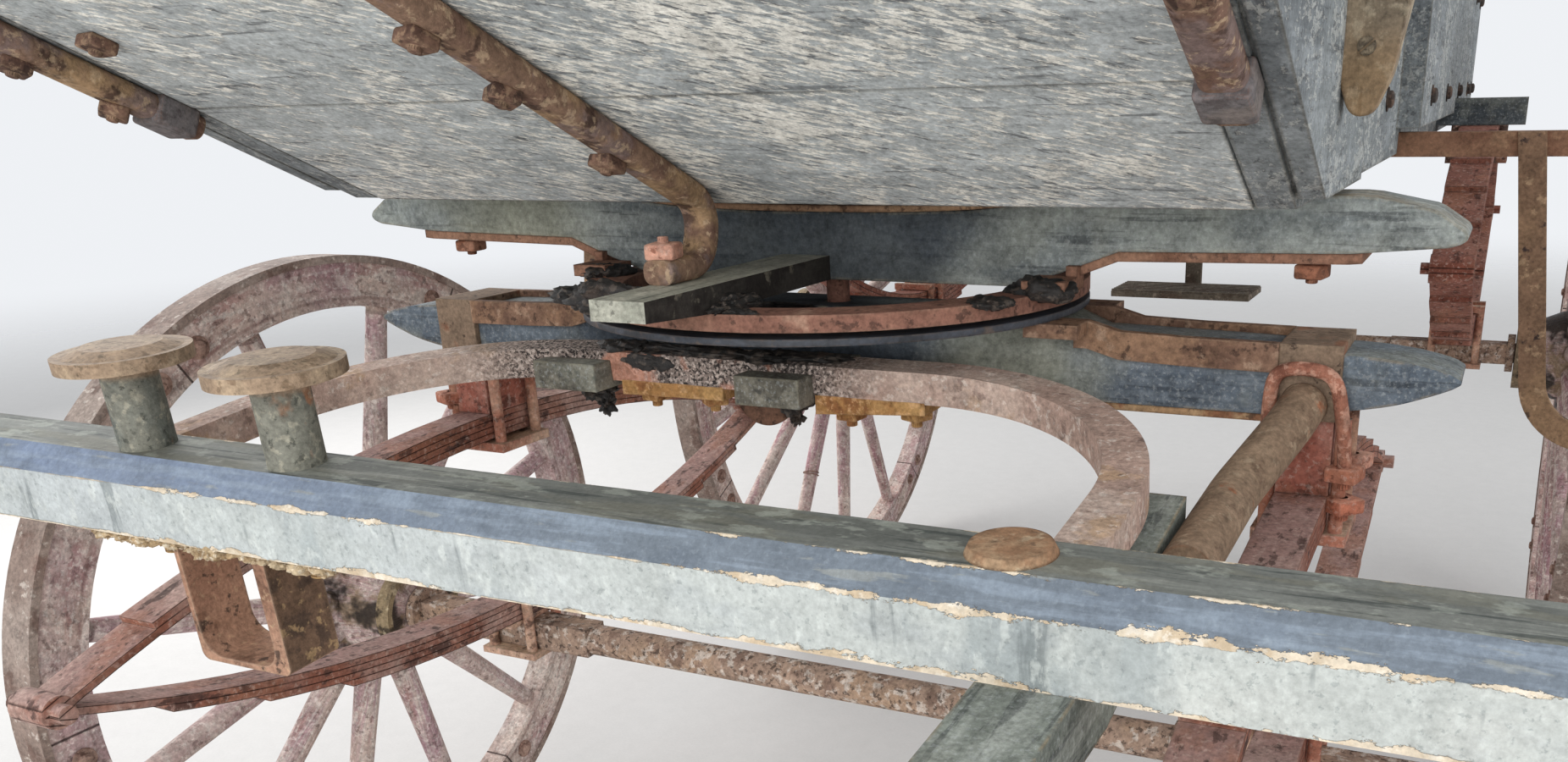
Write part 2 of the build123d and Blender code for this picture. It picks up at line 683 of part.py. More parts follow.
# Right futchell, with the iron stay that rises from it to the bed's strap
bar_low = BAR_Z - BAR_FACE
futchell_side = [
    (FUTCHELL_FRONT, bar_low - FUTCHELL_H), (FUTCHELL_FRONT, bar_low), (BAR_Y + 9, bar_low),
    (FUTCHELL_REAR, bar_low + FUTCHELL_RISE), (FUTCHELL_REAR, bar_low + FUTCHELL_RISE - FUTCHELL_H),
    (BAR_Y + 69, bar_low - FUTCHELL_H)]
futchell_left = FUTCHELL_X - FUTCHELL_W / 2
futchell = slab([(futchell_left, y, z) for y, z in futchell_side], (1, 0, 0), FUTCHELL_W)
hole_y = FUTCHELL_FRONT + SHAFT_PIN_BACK
hole_z = bar_low - FUTCHELL_H / 2
futchell = futchell - rod((futchell_left - 1, hole_y, hole_z),
                          (futchell_left + FUTCHELL_W + 1, hole_y, hole_z), SHAFT_PIN_R)
futchell = futchell - lean(block(-BAR_HALF, BAR_HALF, -200, rear, -BAR_FACE, 300))
save("futchell", futchell)

rod_side = futchell_left + FUTCHELL_W + STAY_ROD_R + 0.3
strap_face = front_face - STRAP_IRON
stay_path = FilletPolyline(
    (SPRING_X - 2, strap_face, LOWER_BED_BASE + 13), (SPRING_X - 8, strap_face - 35, LOWER_BED_BASE + 2),
    (rod_side + 4, strap_face - 130, bar_low + 31), (rod_side, strap_face - 270, bar_low + 16),
    radius=STAY_ROD_BEND)
stay_end = Plane(origin=stay_path @ 0, z_dir=stay_path % 0) * Circle(STAY_ROD_R)
stay_rod = sweep(stay_end, stay_path)
save("futchell_stay", stay_rod & block(0, 600, -600, strap_face, 0, 1000))

# Body frame: the rear bed is halved into the sills, the step bar is let into them
SILL_X = BODY_HALF - SILL_W / 2 - 5
halving_z = (REAR_BED_BASE + FLOOR_Z) / 2
step_bar_z = SILL_Z - STEP_BAR_DROP
step_bar = block(-STEP_BAR_HALF, STEP_BAR_HALF, STEP_BAR_Y, STEP_BAR_Y + STEP_BAR_H,
                 step_bar_z, step_bar_z + STEP_BAR_H)
bed_zone = block(-REAR_BED_HALF, REAR_BED_HALF, REAR_BED_Y, REAR_BED_Y + REAR_BED_DEPTH,
                 REAR_BED_BASE, FLOOR_Z)
bed_notch = block(-REAR_BED_HALF, REAR_BED_HALF, REAR_BED_Y, REAR_BED_Y + REAR_BED_DEPTH,
                  SILL_Z - 1, halving_z)
sills = [block(s * SILL_X - SILL_W / 2, s * SILL_X + SILL_W / 2, BODY_FRONT, BODY_REAR,
               SILL_Z, FLOOR_Z) - bed_notch - step_bar for s in (-1, 1)]
save("sills", *sills)
save("rear_bed", bed_zone - fuse(sills))
rear_ties = [hangers(s * REAR_SPRING_X, WHEELBASE, REAR_LEAF_W, REAR_BED_BASE,
                     REAR_LEAVES * REAR_LEAF_T, REAR_BED_BASE) for s in (-1, 1)]
save("rear_bed_bolts", *rear_ties)
inner = SILL_X - SILL_W / 2
bearers = [block(-inner, inner, y, y + BEARER_W, FLOOR_Z - BEARER_H, FLOOR_Z)
           for y in (BODY_FRONT, SECOND_BEARER, THIRD_BEARER, BODY_REAR - BEARER_W)]
save("bearers", *bearers)
step = 2 * BODY_HALF / FLOOR_PLANKS
planks = [block(-BODY_HALF + i * step + PLANK_GAP / 2, -BODY_HALF + (i + 1) * step - PLANK_GAP / 2,
                BODY_FRONT, BODY_REAR, FLOOR_Z, FLOOR_TOP) for i in range(FLOOR_PLANKS)]
save("floor", *planks)



# Places on the footboard's underside: x, distance up the slope, height above it
def slope(piece):
    return Pos(0, FOOTBOARD_Y, FOOTBOARD_Z) * Rot(180 - FOOTBOARD_TILT, 0, 0) * piece


# Sides: a wall whose front edge runs along the footboard, a cheek outside it at
# the front and thicker boards outside it behind
foot_y = FOOTBOARD_Y + FOOTBOARD_RISE / tan(TILT)
front_y = FOOTBOARD_END - 14
front_z = FOOTBOARD_Z + FOOTBOARD_W * FOOTBOARD_PLANKS * sin(TILT)
side_edges = [
    Line((0, foot_y, SILL_Z), (0, FOOTBOARD_END, front_z)),
    Line((0, FOOTBOARD_END, front_z), (0, front_y, front_z + 32)),
    ThreePointArc((0, front_y, front_z + 32), (0, (front_y + BODY_FRONT) / 2 + 40, front_z + 75),
                  (0, BODY_FRONT, SIDE_TOP)),
    Line((0, BODY_FRONT, SIDE_TOP), (0, BODY_REAR, SIDE_TOP)),
    Line((0, BODY_REAR, SIDE_TOP), (0, BODY_REAR, SILL_Z)),
    Line((0, BODY_REAR, SILL_Z), (0, foot_y, SILL_Z))]
wall_in, wall_out = BODY_HALF, BODY_HALF + SIDE_T
cheek_side = Pos(wall_out, 0, 0) * extrude(make_face(side_edges), amount=CHEEK_T, dir=(1, 0, 0))
cheek_side = cheek_side & block(wall_out, wall_out + CHEEK_T, -700, CHEEK_BACK,
                                SILL_Z + CHEEK_RISE, SIDE_TOP)
wall = Pos(wall_in, 0, 0) * extrude(make_face(side_edges), amount=SIDE_T, dir=(1, 0, 0))
outer = block(wall_out, wall_out + OUTER_T, OUTER_FRONT, BODY_REAR, SILL_Z + OUTER_RISE, SIDE_TOP)
rail = block(wall_in, wall_in + RAIL_W, BODY_FRONT, BODY_REAR, SIDE_TOP, SIDE_TOP + RAIL_H)
groove = slope(block(wall_out, wall_out + CHEEK_GROOVE, -60, FOOTBOARD_W * FOOTBOARD_PLANKS + 40, -5, 1))
side = fuse([wall, cheek_side, outer, rail]) - bed_zone - step_bar - groove
for tag, s in (("l", -1), ("r", 1)):
    save(f"side_{tag}", side if s > 0 else mirror(side, about=Plane.YZ))

front_board = block(-BODY_HALF, BODY_HALF, BODY_FRONT, BODY_FRONT + BOARD_T, FLOOR_TOP, SIDE_TOP)
save("front_board", front_board)

# Tailboard on two strap hinges
pin_y = BODY_REAR + 7 + HINGE_EYE_R
pin_z = FLOOR_TOP - 14
face_y = BODY_REAR + 7
tail = block(-BODY_HALF + TAIL_GAP, BODY_HALF - TAIL_GAP, face_y - TAIL_T, face_y,
             FLOOR_TOP + TAIL_GAP, SIDE_TOP)
straps = []
for s in (-1, 1):
    x = s * HINGE_X
    strap = block(x - STRAP_W / 2, x + STRAP_W / 2, face_y, face_y + STRAP_T, pin_z, pin_z + 190)
    eye = rod((x - STRAP_W / 2, pin_y, pin_z), (x + STRAP_W / 2, pin_y, pin_z), HINGE_EYE_R)
    hole = rod((x - STRAP_W, pin_y, pin_z), (x + STRAP_W, pin_y, pin_z), HINGE_PIN_R + RUNNING_FIT)
    straps.append(strap + eye - hole)
save("tailboard", tail)
save("tail_straps", *straps)
butts = []
for s in (-1, 1):
    x = s * HINGE_X
    pieces = [rod((x - STRAP_W, pin_y, pin_z), (x + STRAP_W, pin_y, pin_z), HINGE_PIN_R)]
    for e in (-1, 1):
        a, b = sorted((x + e * (STRAP_W / 2 + PIN_PLAY), x + e * STRAP_W))
        pieces.append(rod((a, pin_y, pin_z), (b, pin_y, pin_z), HINGE_EYE_R))
        pieces.append(block(a, b, BODY_REAR, pin_y, pin_z - HINGE_EYE_R, pin_z - 2))
        pieces.append(block(a, b, BODY_REAR, BODY_REAR + 6, SILL_Z + 14, pin_z - 2))
    pieces.append(block(x - STRAP_W, x + STRAP_W, BODY_REAR, BODY_REAR + 6, SILL_Z + 14, pin_z - 24))
    butts.append(fuse(pieces))
save("tail_hinges", *butts)


# Footboard: sloping planks between the sides
behind = block(-600, 600, BODY_FRONT, 0, SILL_Z - 100, SIDE_TOP)
board_half = BODY_HALF - PLANK_GAP
boards = []
for i in range(FOOTBOARD_PLANKS):
    start = i * FOOTBOARD_W + PLANK_GAP / 2 if i else -FOOTBOARD_LIP
    board = slope(block(-board_half, board_half, start,
                        (i + 1) * FOOTBOARD_W - PLANK_GAP / 2, -FOOTBOARD_T, 0))
    boards.append(board - behind)
save("footboard", *boards)


# Iron stays under it: rounded bars, the middle one hooked down to the block
def stay(points, bends):
    path = FilletPolyline(*points, radius=bends) if len(points) > 2 else Line(*points)
    end = Plane(origin=path @ 0, x_dir=(1, 0, 0), z_dir=path % 0)
    return sweep(end * RectangleRounded(STAY_W, STAY_T, STAY_EDGE), path)


def under_board(x, along):
    off = STAY_T / 2
    return (x, FOOTBOARD_Y - along * cos(TILT) - off * sin(TILT),
            FOOTBOARD_Z + along * sin(TILT) - off * cos(TILT))


board_end = FOOTBOARD_PLANKS * FOOTBOARD_W - STAY_BACK
stays = [stay([under_board(x, STAY_START), under_board(x, board_end)], 0) for x in (-STAY_X, STAY_X)]
pad_z = PERCH_TOP + STAY_T / 2
stays.append(stay([under_board(MIDDLE_STAY_X, board_end), under_board(MIDDLE_STAY_X, 12),
                   (MIDDLE_STAY_X, HOOK_Y, pad_z), (MIDDLE_STAY_X, HOOK_END, pad_z)], HOOK_BEND))
save("footboard_stays", *stays)

# Seat across the sides
seat_half = BODY_HALF + RAIL_W
save("seat", block(-seat_half, seat_half, SEAT_Y, SEAT_Y + SEAT_W,
                   SIDE_TOP + RAIL_H, SIDE_TOP + RAIL_H + SEAT_T))

# Steps: an iron loop hung from each end of the bar, and a ribbed plate at the back
middle = LOOP_SPAN / 2
out_r, in_r = middle + LOOP_W / 2, middle - LOOP_W / 2
bend = Rot(90, 0, 0) * (Cylinder(out_r, LOOP_T) - Cylinder(in_r, LOOP_T + 2))
bend = bend & block(-out_r, out_r, -LOOP_T / 2, LOOP_T / 2, -out_r, 0)
legs = [block(e * middle - LOOP_W / 2, e * middle + LOOP_W / 2, -LOOP_T / 2, LOOP_T / 2,
              0, LOOP_DROP) for e in (-1, 1)]
loop = fuse([bend] + legs)
hang_z = step_bar_z + STEP_BAR_H + 7
loops = []
for s in (-1, 1):
    tilted = Rot(0, -s * LOOP_LEAN, 0) * Pos(s * middle, 0, -LOOP_DROP) * loop
    tilted = Pos(s * LOOP_X, STEP_BAR_Y - LOOP_T / 2, hang_z) * tilted
    under = block(-900, 900, STEP_BAR_Y - LOOP_T, STEP_BAR_Y, 0, step_bar_z + STEP_BAR_H)
    loops.append(tilted & under)
save("side_steps", *loops)
save("step_bar", step_bar)

tread_back = BODY_REAR
plate = block(TREAD_LEFT, TREAD_RIGHT, tread_back - TREAD_DEPTH, tread_back, TREAD_Z, TREAD_Z + TREAD_T)
tread_top = TREAD_Z + TREAD_T
ribs = [block(TREAD_LEFT, TREAD_RIGHT, tread_back - TREAD_DEPTH + 4 + i * RIB_PITCH,
              tread_back - TREAD_DEPTH + 12 + i * RIB_PITCH, tread_top, tread_top + 4)
        for i in range(TREAD_RIBS)]
hanger_x = (TREAD_LEFT + TREAD_RIGHT) / 2 - HANGER_W / 2
hanger = block(hanger_x, hanger_x + HANGER_W, tread_back - 12, tread_back, tread_top, FLOOR_Z - BEARER_H)
save("rear_step", fuse([plate, hanger] + ribs))
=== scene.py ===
from math import cos, pi, radians, sin, tan

import bpy
from mathutils import Matrix, Vector, noise


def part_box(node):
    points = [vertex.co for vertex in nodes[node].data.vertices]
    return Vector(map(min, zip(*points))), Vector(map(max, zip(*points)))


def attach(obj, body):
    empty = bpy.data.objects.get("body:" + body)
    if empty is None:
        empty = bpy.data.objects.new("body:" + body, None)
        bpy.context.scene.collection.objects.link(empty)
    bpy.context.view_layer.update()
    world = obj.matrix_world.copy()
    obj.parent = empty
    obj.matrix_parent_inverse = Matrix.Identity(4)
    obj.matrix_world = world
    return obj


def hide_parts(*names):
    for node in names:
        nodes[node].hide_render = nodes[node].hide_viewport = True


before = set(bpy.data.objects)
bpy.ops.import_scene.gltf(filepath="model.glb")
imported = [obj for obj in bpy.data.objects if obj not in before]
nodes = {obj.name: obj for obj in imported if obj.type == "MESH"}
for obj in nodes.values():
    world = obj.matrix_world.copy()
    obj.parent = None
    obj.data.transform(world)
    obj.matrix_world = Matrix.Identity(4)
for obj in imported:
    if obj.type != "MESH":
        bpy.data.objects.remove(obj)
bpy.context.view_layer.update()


# Wheels: ash spokes and felloes on an elm nave, once red, now faded to a dusty pink.
# Each felloe carries two spokes and is dowelled to the next; the tyre is shrunk on hot.
# The finishes below are built in coats, and a Wave is one value that varies over a piece.
ROUND = (1, 1, 1)  # a pattern that no way is stretched


class Wave:
    """A value that varies over a piece, and can be reckoned with like a number."""

    def __init__(self, finish, socket):
        self.finish = finish
        self.socket = socket

    def maths(self, operation, first, second=None):
        values = {0: first} if second is None else {0: first, 1: second}
        return self.finish.node("Math", {"operation": operation}, values)

    def __add__(self, other):
        return self.maths("ADD", self, other)

    def __radd__(self, other):
        return self.maths("ADD", other, self)

    def __sub__(self, other):
        return self.maths("SUBTRACT", self, other)

    def __rsub__(self, other):
        return self.maths("SUBTRACT", other, self)

    def __mul__(self, other):
        return self.maths("MULTIPLY", self, other)

    def __truediv__(self, other):
        return self.maths("DIVIDE", self, other)

    def __pow__(self, other):
        return self.maths("POWER", self, other)

    def __abs__(self):
        return self.maths("ABSOLUTE", self)

    def part(self):
        return self.maths("FRACT", self)

    def most(self, other):
        return self.maths("MAXIMUM", self, other)

    def rise(self, start, full):
        """0 at start and 1 at full, smooth between them, whichever of the two is higher."""
        settings = {"interpolation_type": "SMOOTHSTEP"}
        return self.finish.node("MapRange", settings, {0: self, 1: start, 2: full})


def linear(colour):
    """A colour off a paint card, such as "8a8f90", in the shader's own numbers."""
    shares = [int(colour[i:i + 2], 16) / 255 for i in (0, 2, 4)]
    return tuple(c / 12.92 if c < 0.04045 else ((c + 0.055) / 1.055) ** 2.4 for c in shares) + (1,)


class Finish:
    """A material built up in coats, in metres of the object's own place."""

    def __init__(self, name):
        self.material = bpy.data.materials.new(name)
        self.material.use_nodes = True
        self.tree = self.material.node_tree
        self.shader = self.tree.nodes["Principled BSDF"]
        self.clouds = 0
        self.rounded = None
        self.place = self.node("TexCoord", out="Object")
        self.x, self.y, self.z = self.parts(self.place)

    def node(self, kind, settings=None, values=None, out=0):
        made = self.tree.nodes.new("ShaderNode" + kind)
        for name, value in (settings or {}).items():
            setattr(made, name, value)
        for name, value in (values or {}).items():
            self.feed(made.inputs[name], value)
        return Wave(self, made.outputs[out])

    def feed(self, socket, value):
        if isinstance(value, Wave):
            self.tree.links.new(value.socket, socket)
        else:
            socket.default_value = value

    def parts(self, vector):
        split = self.node("SeparateXYZ", values={0: vector})
        return [Wave(self, socket) for socket in split.socket.node.outputs]

    def vector(self, x, y, z):
        return self.node("CombineXYZ", values={0: x, 1: y, 2: z})

    def cloud(self, scale, detail=4, rough=0.6, stretch=ROUND, place=None):
        """A soft pattern from 0 to 1, in blotches per metre; each one starts somewhere else."""
        self.clouds += 1
        away = (3.7 * self.clouds, 1.9 * self.clouds, -2.3 * self.clouds)
        values = {0: place or self.place, 1: stretch, 2: away}
        where = self.node("VectorMath", {"operation": "MULTIPLY_ADD"}, values)
        values = {"Vector": where, "Scale": scale, "Detail": detail, "Roughness": rough}
        return self.node("TexNoise", values=values)

    def tint(self, share, under, over):
        """The colour over, laid on the colour under wherever share is 1."""
        colours = [linear(c) if isinstance(c, str) else c for c in (under, over)]
        values = {0: share, 6: colours[0], 7: colours[1]}
        return self.node("Mix", {"data_type": "RGBA", "clamp_factor": True}, values, out=2)

    def coats(self, under, rows, place=None):
        """Coats over each other. A row is the blotches per metre, their stretch if they have one,
        where the pattern starts to show and where it is full, how much it hides, its colour."""
        colour = under
        for scale, *stretch, start, full, share, over in rows:
            pattern = self.cloud(scale, 5, 0.62, stretch[0] if stretch else ROUND, place)
            colour = self.tint(pattern.rise(start, full) * share, colour, over)
        return colour

    def facing(self, axis):
        """From -1 to 1, how far the surface faces along x, y or z."""
        return self.parts(self.node("NewGeometry", out="Normal"))["xyz".index(axis)]

    def edges(self, width):
        """Near 1 on corners: there the rounded normal turns away from the flat one."""
        self.rounded = self.node("Bevel", {"samples": 4}, {"Radius": width})
        true = self.node("NewGeometry", out="True Normal")
        values = {0: self.rounded, 1: true}
        turn = self.node("VectorMath", {"operation": "DOT_PRODUCT"}, values, "Value")
        return (1 - turn).rise(0.015, 0.1)

    def done(self, colour, roughness, height=None, depth=0.001, shine=0.2, dirt=1.0):
        """Dirt shades the colour up and down in blotches and in fine grit."""
        coarse = (self.cloud(34, 5, 0.7) - 0.5) * (1.3 * dirt)
        grit = (self.cloud(230, 3, 0.7) - 0.5) * (1.5 * dirt)
        shade = {0: colour, "Scale": coarse + grit + 1}
        colour = self.node("VectorMath", {"operation": "SCALE"}, shade)
        self.feed(self.shader.inputs["Base Color"], colour)
        self.feed(self.shader.inputs["Roughness"], roughness)
        self.shader.inputs["Specular IOR Level"].default_value = shine
        if height is not None:
            values = {"Strength": 1.0, "Distance": depth, "Height": height}
            if self.rounded:
                values["Normal"] = self.rounded
            self.feed(self.shader.inputs["Normal"], self.node("Bump", values=values))
        return self.material


def dress(material, *names):
    """Gives solids of the frame one finish all over."""
    for name in names:
        mesh = nodes[name].data
        mesh.materials.clear()
        mesh.materials.append(material)
        mesh.polygons.foreach_set("material_index", [0] * len(mesh.polygons))


TYRE_T = 0.009
FELLOE_DEPTH = 0.052
SPOKES_PER_FELLOE = 2
NAVE_R = 0.094
WHEELS = [
    # tag, spokes, felloe colour, streak, spoke colour, dust
    ("f", 12, "bda89e", "a07d77", "b39496", "d3c9bf"),
    ("r", 14, "b1938b", "93696a", "a47f84", "c9bab0"),
]


def wheel_at(tag):
    """The middle of a wheel, and its radius with the tyre."""
    low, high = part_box(f"tyre_{tag}")
    return (low + high) / 2, (high.z - low.z) / 2


def wheel_paint(name, centre, inner_r, joints, felloe, streak, spoke, dust):
    """Paint that follows the spokes and the rim, with dark joints and a greased nave."""
    f = Finish(name)
    dy, dz = f.y - centre.y, f.z - centre.z
    radius = (dy * dy + dz * dz) ** 0.5
    angle = f.node("Math", {"operation": "ARCTAN2"}, {0: dz, 1: dy})
    rim = radius.rise(inner_r - 0.01, inner_r - 0.004)
    along_spoke = f.vector(f.x * 9, angle * 8, radius * 1.3)
    along_rim = f.vector(f.x * 13, angle * 1.2, radius * 13)
    way = f.node("Mix", {"data_type": "VECTOR"}, {0: rim, 4: along_spoke, 5: along_rim}, out=1)
    colour = f.tint(rim, spoke, felloe)
    colour = f.coats(colour, [
        (2.2, 0.47, 0.6, 0.8, streak), (4, 0.44, 0.6, 0.7, "c3b1a5"),
        (8, 0.5, 0.62, 0.7, dust), (12, 0.44, 0.36, 0.5, "6b504a")], way)
    colour = f.coats(colour, [
        (3, 0.5, 0.62, 0.45, "96707f"), (6, 0.46, 0.6, 0.55, "bfaea2"),
        (46, 0.52, 0.62, 0.34, "d8cfc6"), (160, 0.54, 0.62, 0.4, "e8e1d9"),
        (90, 0.42, 0.35, 0.55, "5a433e")])
    turn = (angle / (2 * pi) * joints + 0.5).part()
    gap = abs(turn - 0.5) * radius * (2 * pi / joints)
    colour = f.tint(gap.rise(0.0016, 0.0007) * rim * 0.85, colour, "3a2c29")
    ply = abs(radius - (inner_r + 0.010)).rise(0.003, 0.0006)
    colour = f.tint(ply * rim * 0.35, colour, "6a4f4a")
    nave = radius.rise(NAVE_R + 0.006, NAVE_R - 0.006)
    clay = f.cloud(30, 4).rise(0.46, 0.6)
    grease = f.cloud(16, 4).rise(0.44, 0.56)
    colour = f.tint(nave * clay * 0.8, colour, "8f7a5e")
    colour = f.tint(nave * grease * 0.92, colour, "241e1b")
    fibre = f.cloud(3.4, 6, 0.65, ROUND, way)
    grit = f.cloud(60, 4, 0.7)
    height = fibre * 0.7 + grit * 0.4 - gap.rise(0.002, 0.0) * rim
    return f.done(colour, 0.80 - nave * grease * 0.35, height, 0.0016)


for pair, spokes, *colours in WHEELS:
    centre, radius = wheel_at(f"{pair}l")
    paint = wheel_paint(f"faded red wheel {pair}", centre, radius - TYRE_T - FELLOE_DEPTH,
                        spokes // SPOKES_PER_FELLOE, *colours)
    dress(paint, f"wood_{pair}l", f"wood_{pair}r")

f = Finish("worn tyre iron")
colour = f.coats("8c7a70", [
    (9, 0.44, 0.6, 0.8, "a3948a"), (30, 0.52, 0.64, 0.7, "6a5148"),
    (90, 0.58, 0.66, 0.7, "cbbfb4")])
dress(f.done(colour, 0.72, f.cloud(60, 5, 0.7), 0.0012), "tyre_fl", "tyre_fr", "tyre_rl", "tyre_rr")
f = Finish("nave hoops and caps")
colour = f.coats("7a6a55", [
    (14, 0.46, 0.58, 0.85, "9c8a6c"), (26, 0.54, 0.62, 0.85, "2a2320"),
    (80, 0.56, 0.64, 0.6, "cdbfa0")])
dress(f.done(colour, 0.66, f.cloud(50, 5, 0.7), 0.0014), "iron_fl", "iron_fr", "iron_rl", "iron_rr")


# Felloe bolts: small iron bolts with domed heads on washers, two at each joint of the rim. They
# were driven through the felloes as the rim was built, and show on both of its faces.
HERE = [Matrix.Identity(4)]


def pick(*pieces):
    """Selects these pieces alone and makes the first of them active."""
    bpy.ops.object.select_all(action="DESELECT")
    for piece in pieces:
        piece.select_set(True)
    bpy.context.view_layer.objects.active = pieces[0]


def new_piece(name, data):
    """A new object of this mesh, curve, lamp or lens, picked."""
    piece = bpy.data.objects.new(name, data)
    bpy.context.collection.objects.link(piece)
    pick(piece)
    return piece


def edit_all(operator, **settings):
    """One edit on every face of the active piece."""
    bpy.ops.object.mode_set(mode="EDIT")
    bpy.ops.mesh.select_all(action="SELECT")
    operator(**settings)
    bpy.ops.object.mode_set(mode="OBJECT")


def piece_of(name, material, places, body, angle=35):
    """Copies the piece just modelled to its places as one object and hangs it on a body."""
    model = bpy.context.object
    bpy.ops.object.transform_apply()
    bpy.ops.object.shade_smooth_by_angle(angle=radians(angle))
    model.data.materials.clear()
    model.data.materials.append(material)
    copies = []
    for place in places:
        copy = model.copy()
        copy.data = model.data.copy()
        copy.data.transform(place)
        bpy.context.collection.objects.link(copy)
        copies.append(copy)
    bpy.data.objects.remove(model)
    pick(*copies)
    if len(copies) > 1:
        bpy.ops.object.join()
    whole = bpy.context.object
    whole.name = whole.data.name = name
    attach(whole, body)


def round_head(radius, height, washer, washer_t):
    """A domed bolt head on a washer, standing on z = 0."""
    bpy.ops.mesh.primitive_cylinder_add(vertices=20, radius=washer, depth=washer_t,
                                        location=(0, 0, washer_t / 2))
    edit_all(bpy.ops.mesh.select_all, action="DESELECT")
    top = max(bpy.context.object.data.polygons, key=lambda face: face.center.z)
    top.select = True
    bpy.ops.object.mode_set(mode="EDIT")
    bpy.ops.mesh.inset(thickness=washer - radius)
    bpy.ops.mesh.extrude_region_move(TRANSFORM_OT_translate={"value": (0, 0, height * 0.6)})
    for inward, up in ((0.25, 0.28), (0.3, 0.12)):
        bpy.ops.mesh.inset(thickness=radius * inward)
        bpy.ops.transform.translate(value=(0, 0, height * up))
    bpy.ops.object.mode_set(mode="OBJECT")


f = Finish("felloe bolt iron")
colour = f.coats("86685c", [
    (40, 0.45, 0.58, 0.8, "a58a7c"), (120, 0.52, 0.6, 0.7, "5a423a")])
felloe_iron = f.done(colour, 0.8, f.cloud(120, 4, 0.7), 0.0006)
FELLOE_W = 0.038
BOLT_SPREAD = 0.030
for pair, spokes, *colours in WHEELS:
    for side in "lr":
        centre, radius = wheel_at(pair + side)
        bolt_r = radius - TYRE_T - FELLOE_DEPTH * 0.52
        joints = spokes // SPOKES_PER_FELLOE
        places = []
        for joint in range(joints):
            for lean in (-1, 1):
                a = 2 * pi * joint / joints + lean * BOLT_SPREAD / bolt_r
                for face in (-1, 1):
                    spot = (centre.x + face * FELLOE_W / 2, centre.y + bolt_r * cos(a),
                            centre.z + bolt_r * sin(a))
                    outward = Matrix.Rotation(face * pi / 2, 4, "Y")
                    places.append(Matrix.Translation(spot) @ outward)
        round_head(radius=0.0075, height=0.005, washer=0.013, washer_t=0.0018)
        piece_of(f"felloe_bolts_{pair}{side}", felloe_iron, places, f"wheel_{pair}{side}")


# Wire ring: someone has tied two turns of soft iron wire round one spoke of a rear wheel,
# a little past halfway out, and left it there to rust.
TIED_SPOKE = 9.5 / 14
WIRE_OUT = 0.34
centre, radius = wheel_at("rl")
a = 2 * pi * TIED_SPOKE
spot = Vector((centre.x + 0.006, centre.y + WIRE_OUT * cos(a), centre.z + WIRE_OUT * sin(a)))
bpy.ops.mesh.primitive_torus_add(major_radius=0.0158, minor_radius=0.0012, major_segments=40,
                                 minor_segments=8)
first = Matrix.Translation(spot) @ Matrix.Rotation(a - pi / 2, 4, "X")
second = Matrix.Translation((0, 0, 0.004)) @ first @ Matrix.Rotation(0.16, 4, "Y")
piece_of("spoke_wire", felloe_iron, [first, second], "wheel_rl")


# Axles: forged square at the springs and left round between them. The rust is orange-brown
# with a salt of pale dust on top, and the ends turn in greased boxes.
def forged(name, under, rows, depth=0.0013, roughness=0.80, worn=None, shine=0.2):
    """Iron left to rust, with pits and a crust; worn is the colour that its corners show."""
    f = Finish(name)
    colour = f.coats(under, rows)
    grit = f.cloud(110, 4, 0.7)
    colour = f.tint(f.edges(0.003) * grit.rise(0.38, 0.55) * 0.5, colour, worn or rows[-1][-1])
    crust = f.cloud(28, 5, 0.68)
    return f.done(colour, roughness + grit * 0.15, crust * 0.8 + grit * 0.6, depth, shine=shine)


dress(forged("axle rust", "a28a79", [
    (10, 0.46, 0.6, 0.8, "b0947c"), (34, 0.54, 0.62, 0.7, "7a6256"),
    (90, 0.52, 0.6, 0.9, "cabdb1"),
    (150, 0.45, 0.38, 0.85, "55473f")]), "front_axle", "rear_axle")


# Springs: packs of flat leaves under old red lead, faded to pink-brown on top and flaking to
# orange at the sides, where dark lines part the leaves. Clips and saddles were painted with them.
COUNT_FROM = 10.5  # a leaf's edges are whole counts, and all counts stay above 0


def red_lead(name, face, side, speck, pale, leaves=None):
    """Old red lead; leaves is the arc of a pack, for the dark lines between its leaves."""
    f = Finish(name)
    rub = abs(f.facing("z")).rise(0.35, 0.75)
    colour = f.tint(rub, side, face)
    colour = f.coats(colour, [
        (7, 0.44, 0.6, 0.6, pale), (18, (1, 0.5, 1), 0.5, 0.62, 0.55, "94654f"),
        (44, (1, 0.4, 1), 0.42, 0.35, 0.8, speck), (90, (1, 0.5, 1), 0.42, 0.36, 0.7, speck),
        (180, 0.55, 0.63, 0.34, "cbb3a6")])
    height = f.cloud(26, 5, 0.65) * 0.6 + f.cloud(60, 4, 0.7, (1, 0.45, 1)) * 0.7
    if leaves:
        middle_y, middle_z, rise, half, thick = leaves
        bend = (half ** 2 + rise ** 2) / (2 * rise)
        over = abs(f.z - middle_z)
        reach = ((f.y - middle_y) ** 2 + (over + bend - rise) ** 2) ** 0.5
        leaf = ((reach - bend) / thick + COUNT_FROM).part()
        line = abs(leaf - 0.5).rise(0.4, 0.49) * (1 - rub)
        rough_line = line * f.cloud(30, 4, 0.6, (1, 0.4, 1)).rise(0.36, 0.52)
        colour = f.tint(rough_line * 0.85, colour, "35211b")
        height = height - line * 1.2
    colour = f.tint(f.edges(0.003) * 0.35, colour, "c9a493")
    return f.done(colour, 0.80, height, 0.0013)


def leaf_shape(name, leaves, thick, eye):
    """The arc of a pack from the boxes of its halves: middle, rise and half length."""
    low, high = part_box(f"{name}_spring_lower")
    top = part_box(f"{name}_spring_upper")[1].z
    rise = (top - low.z) / 2 - leaves * thick + thick / 2
    return (low.y + high.y) / 2, (low.z + top) / 2, rise, (high.y - low.y) / 2 - eye, thick


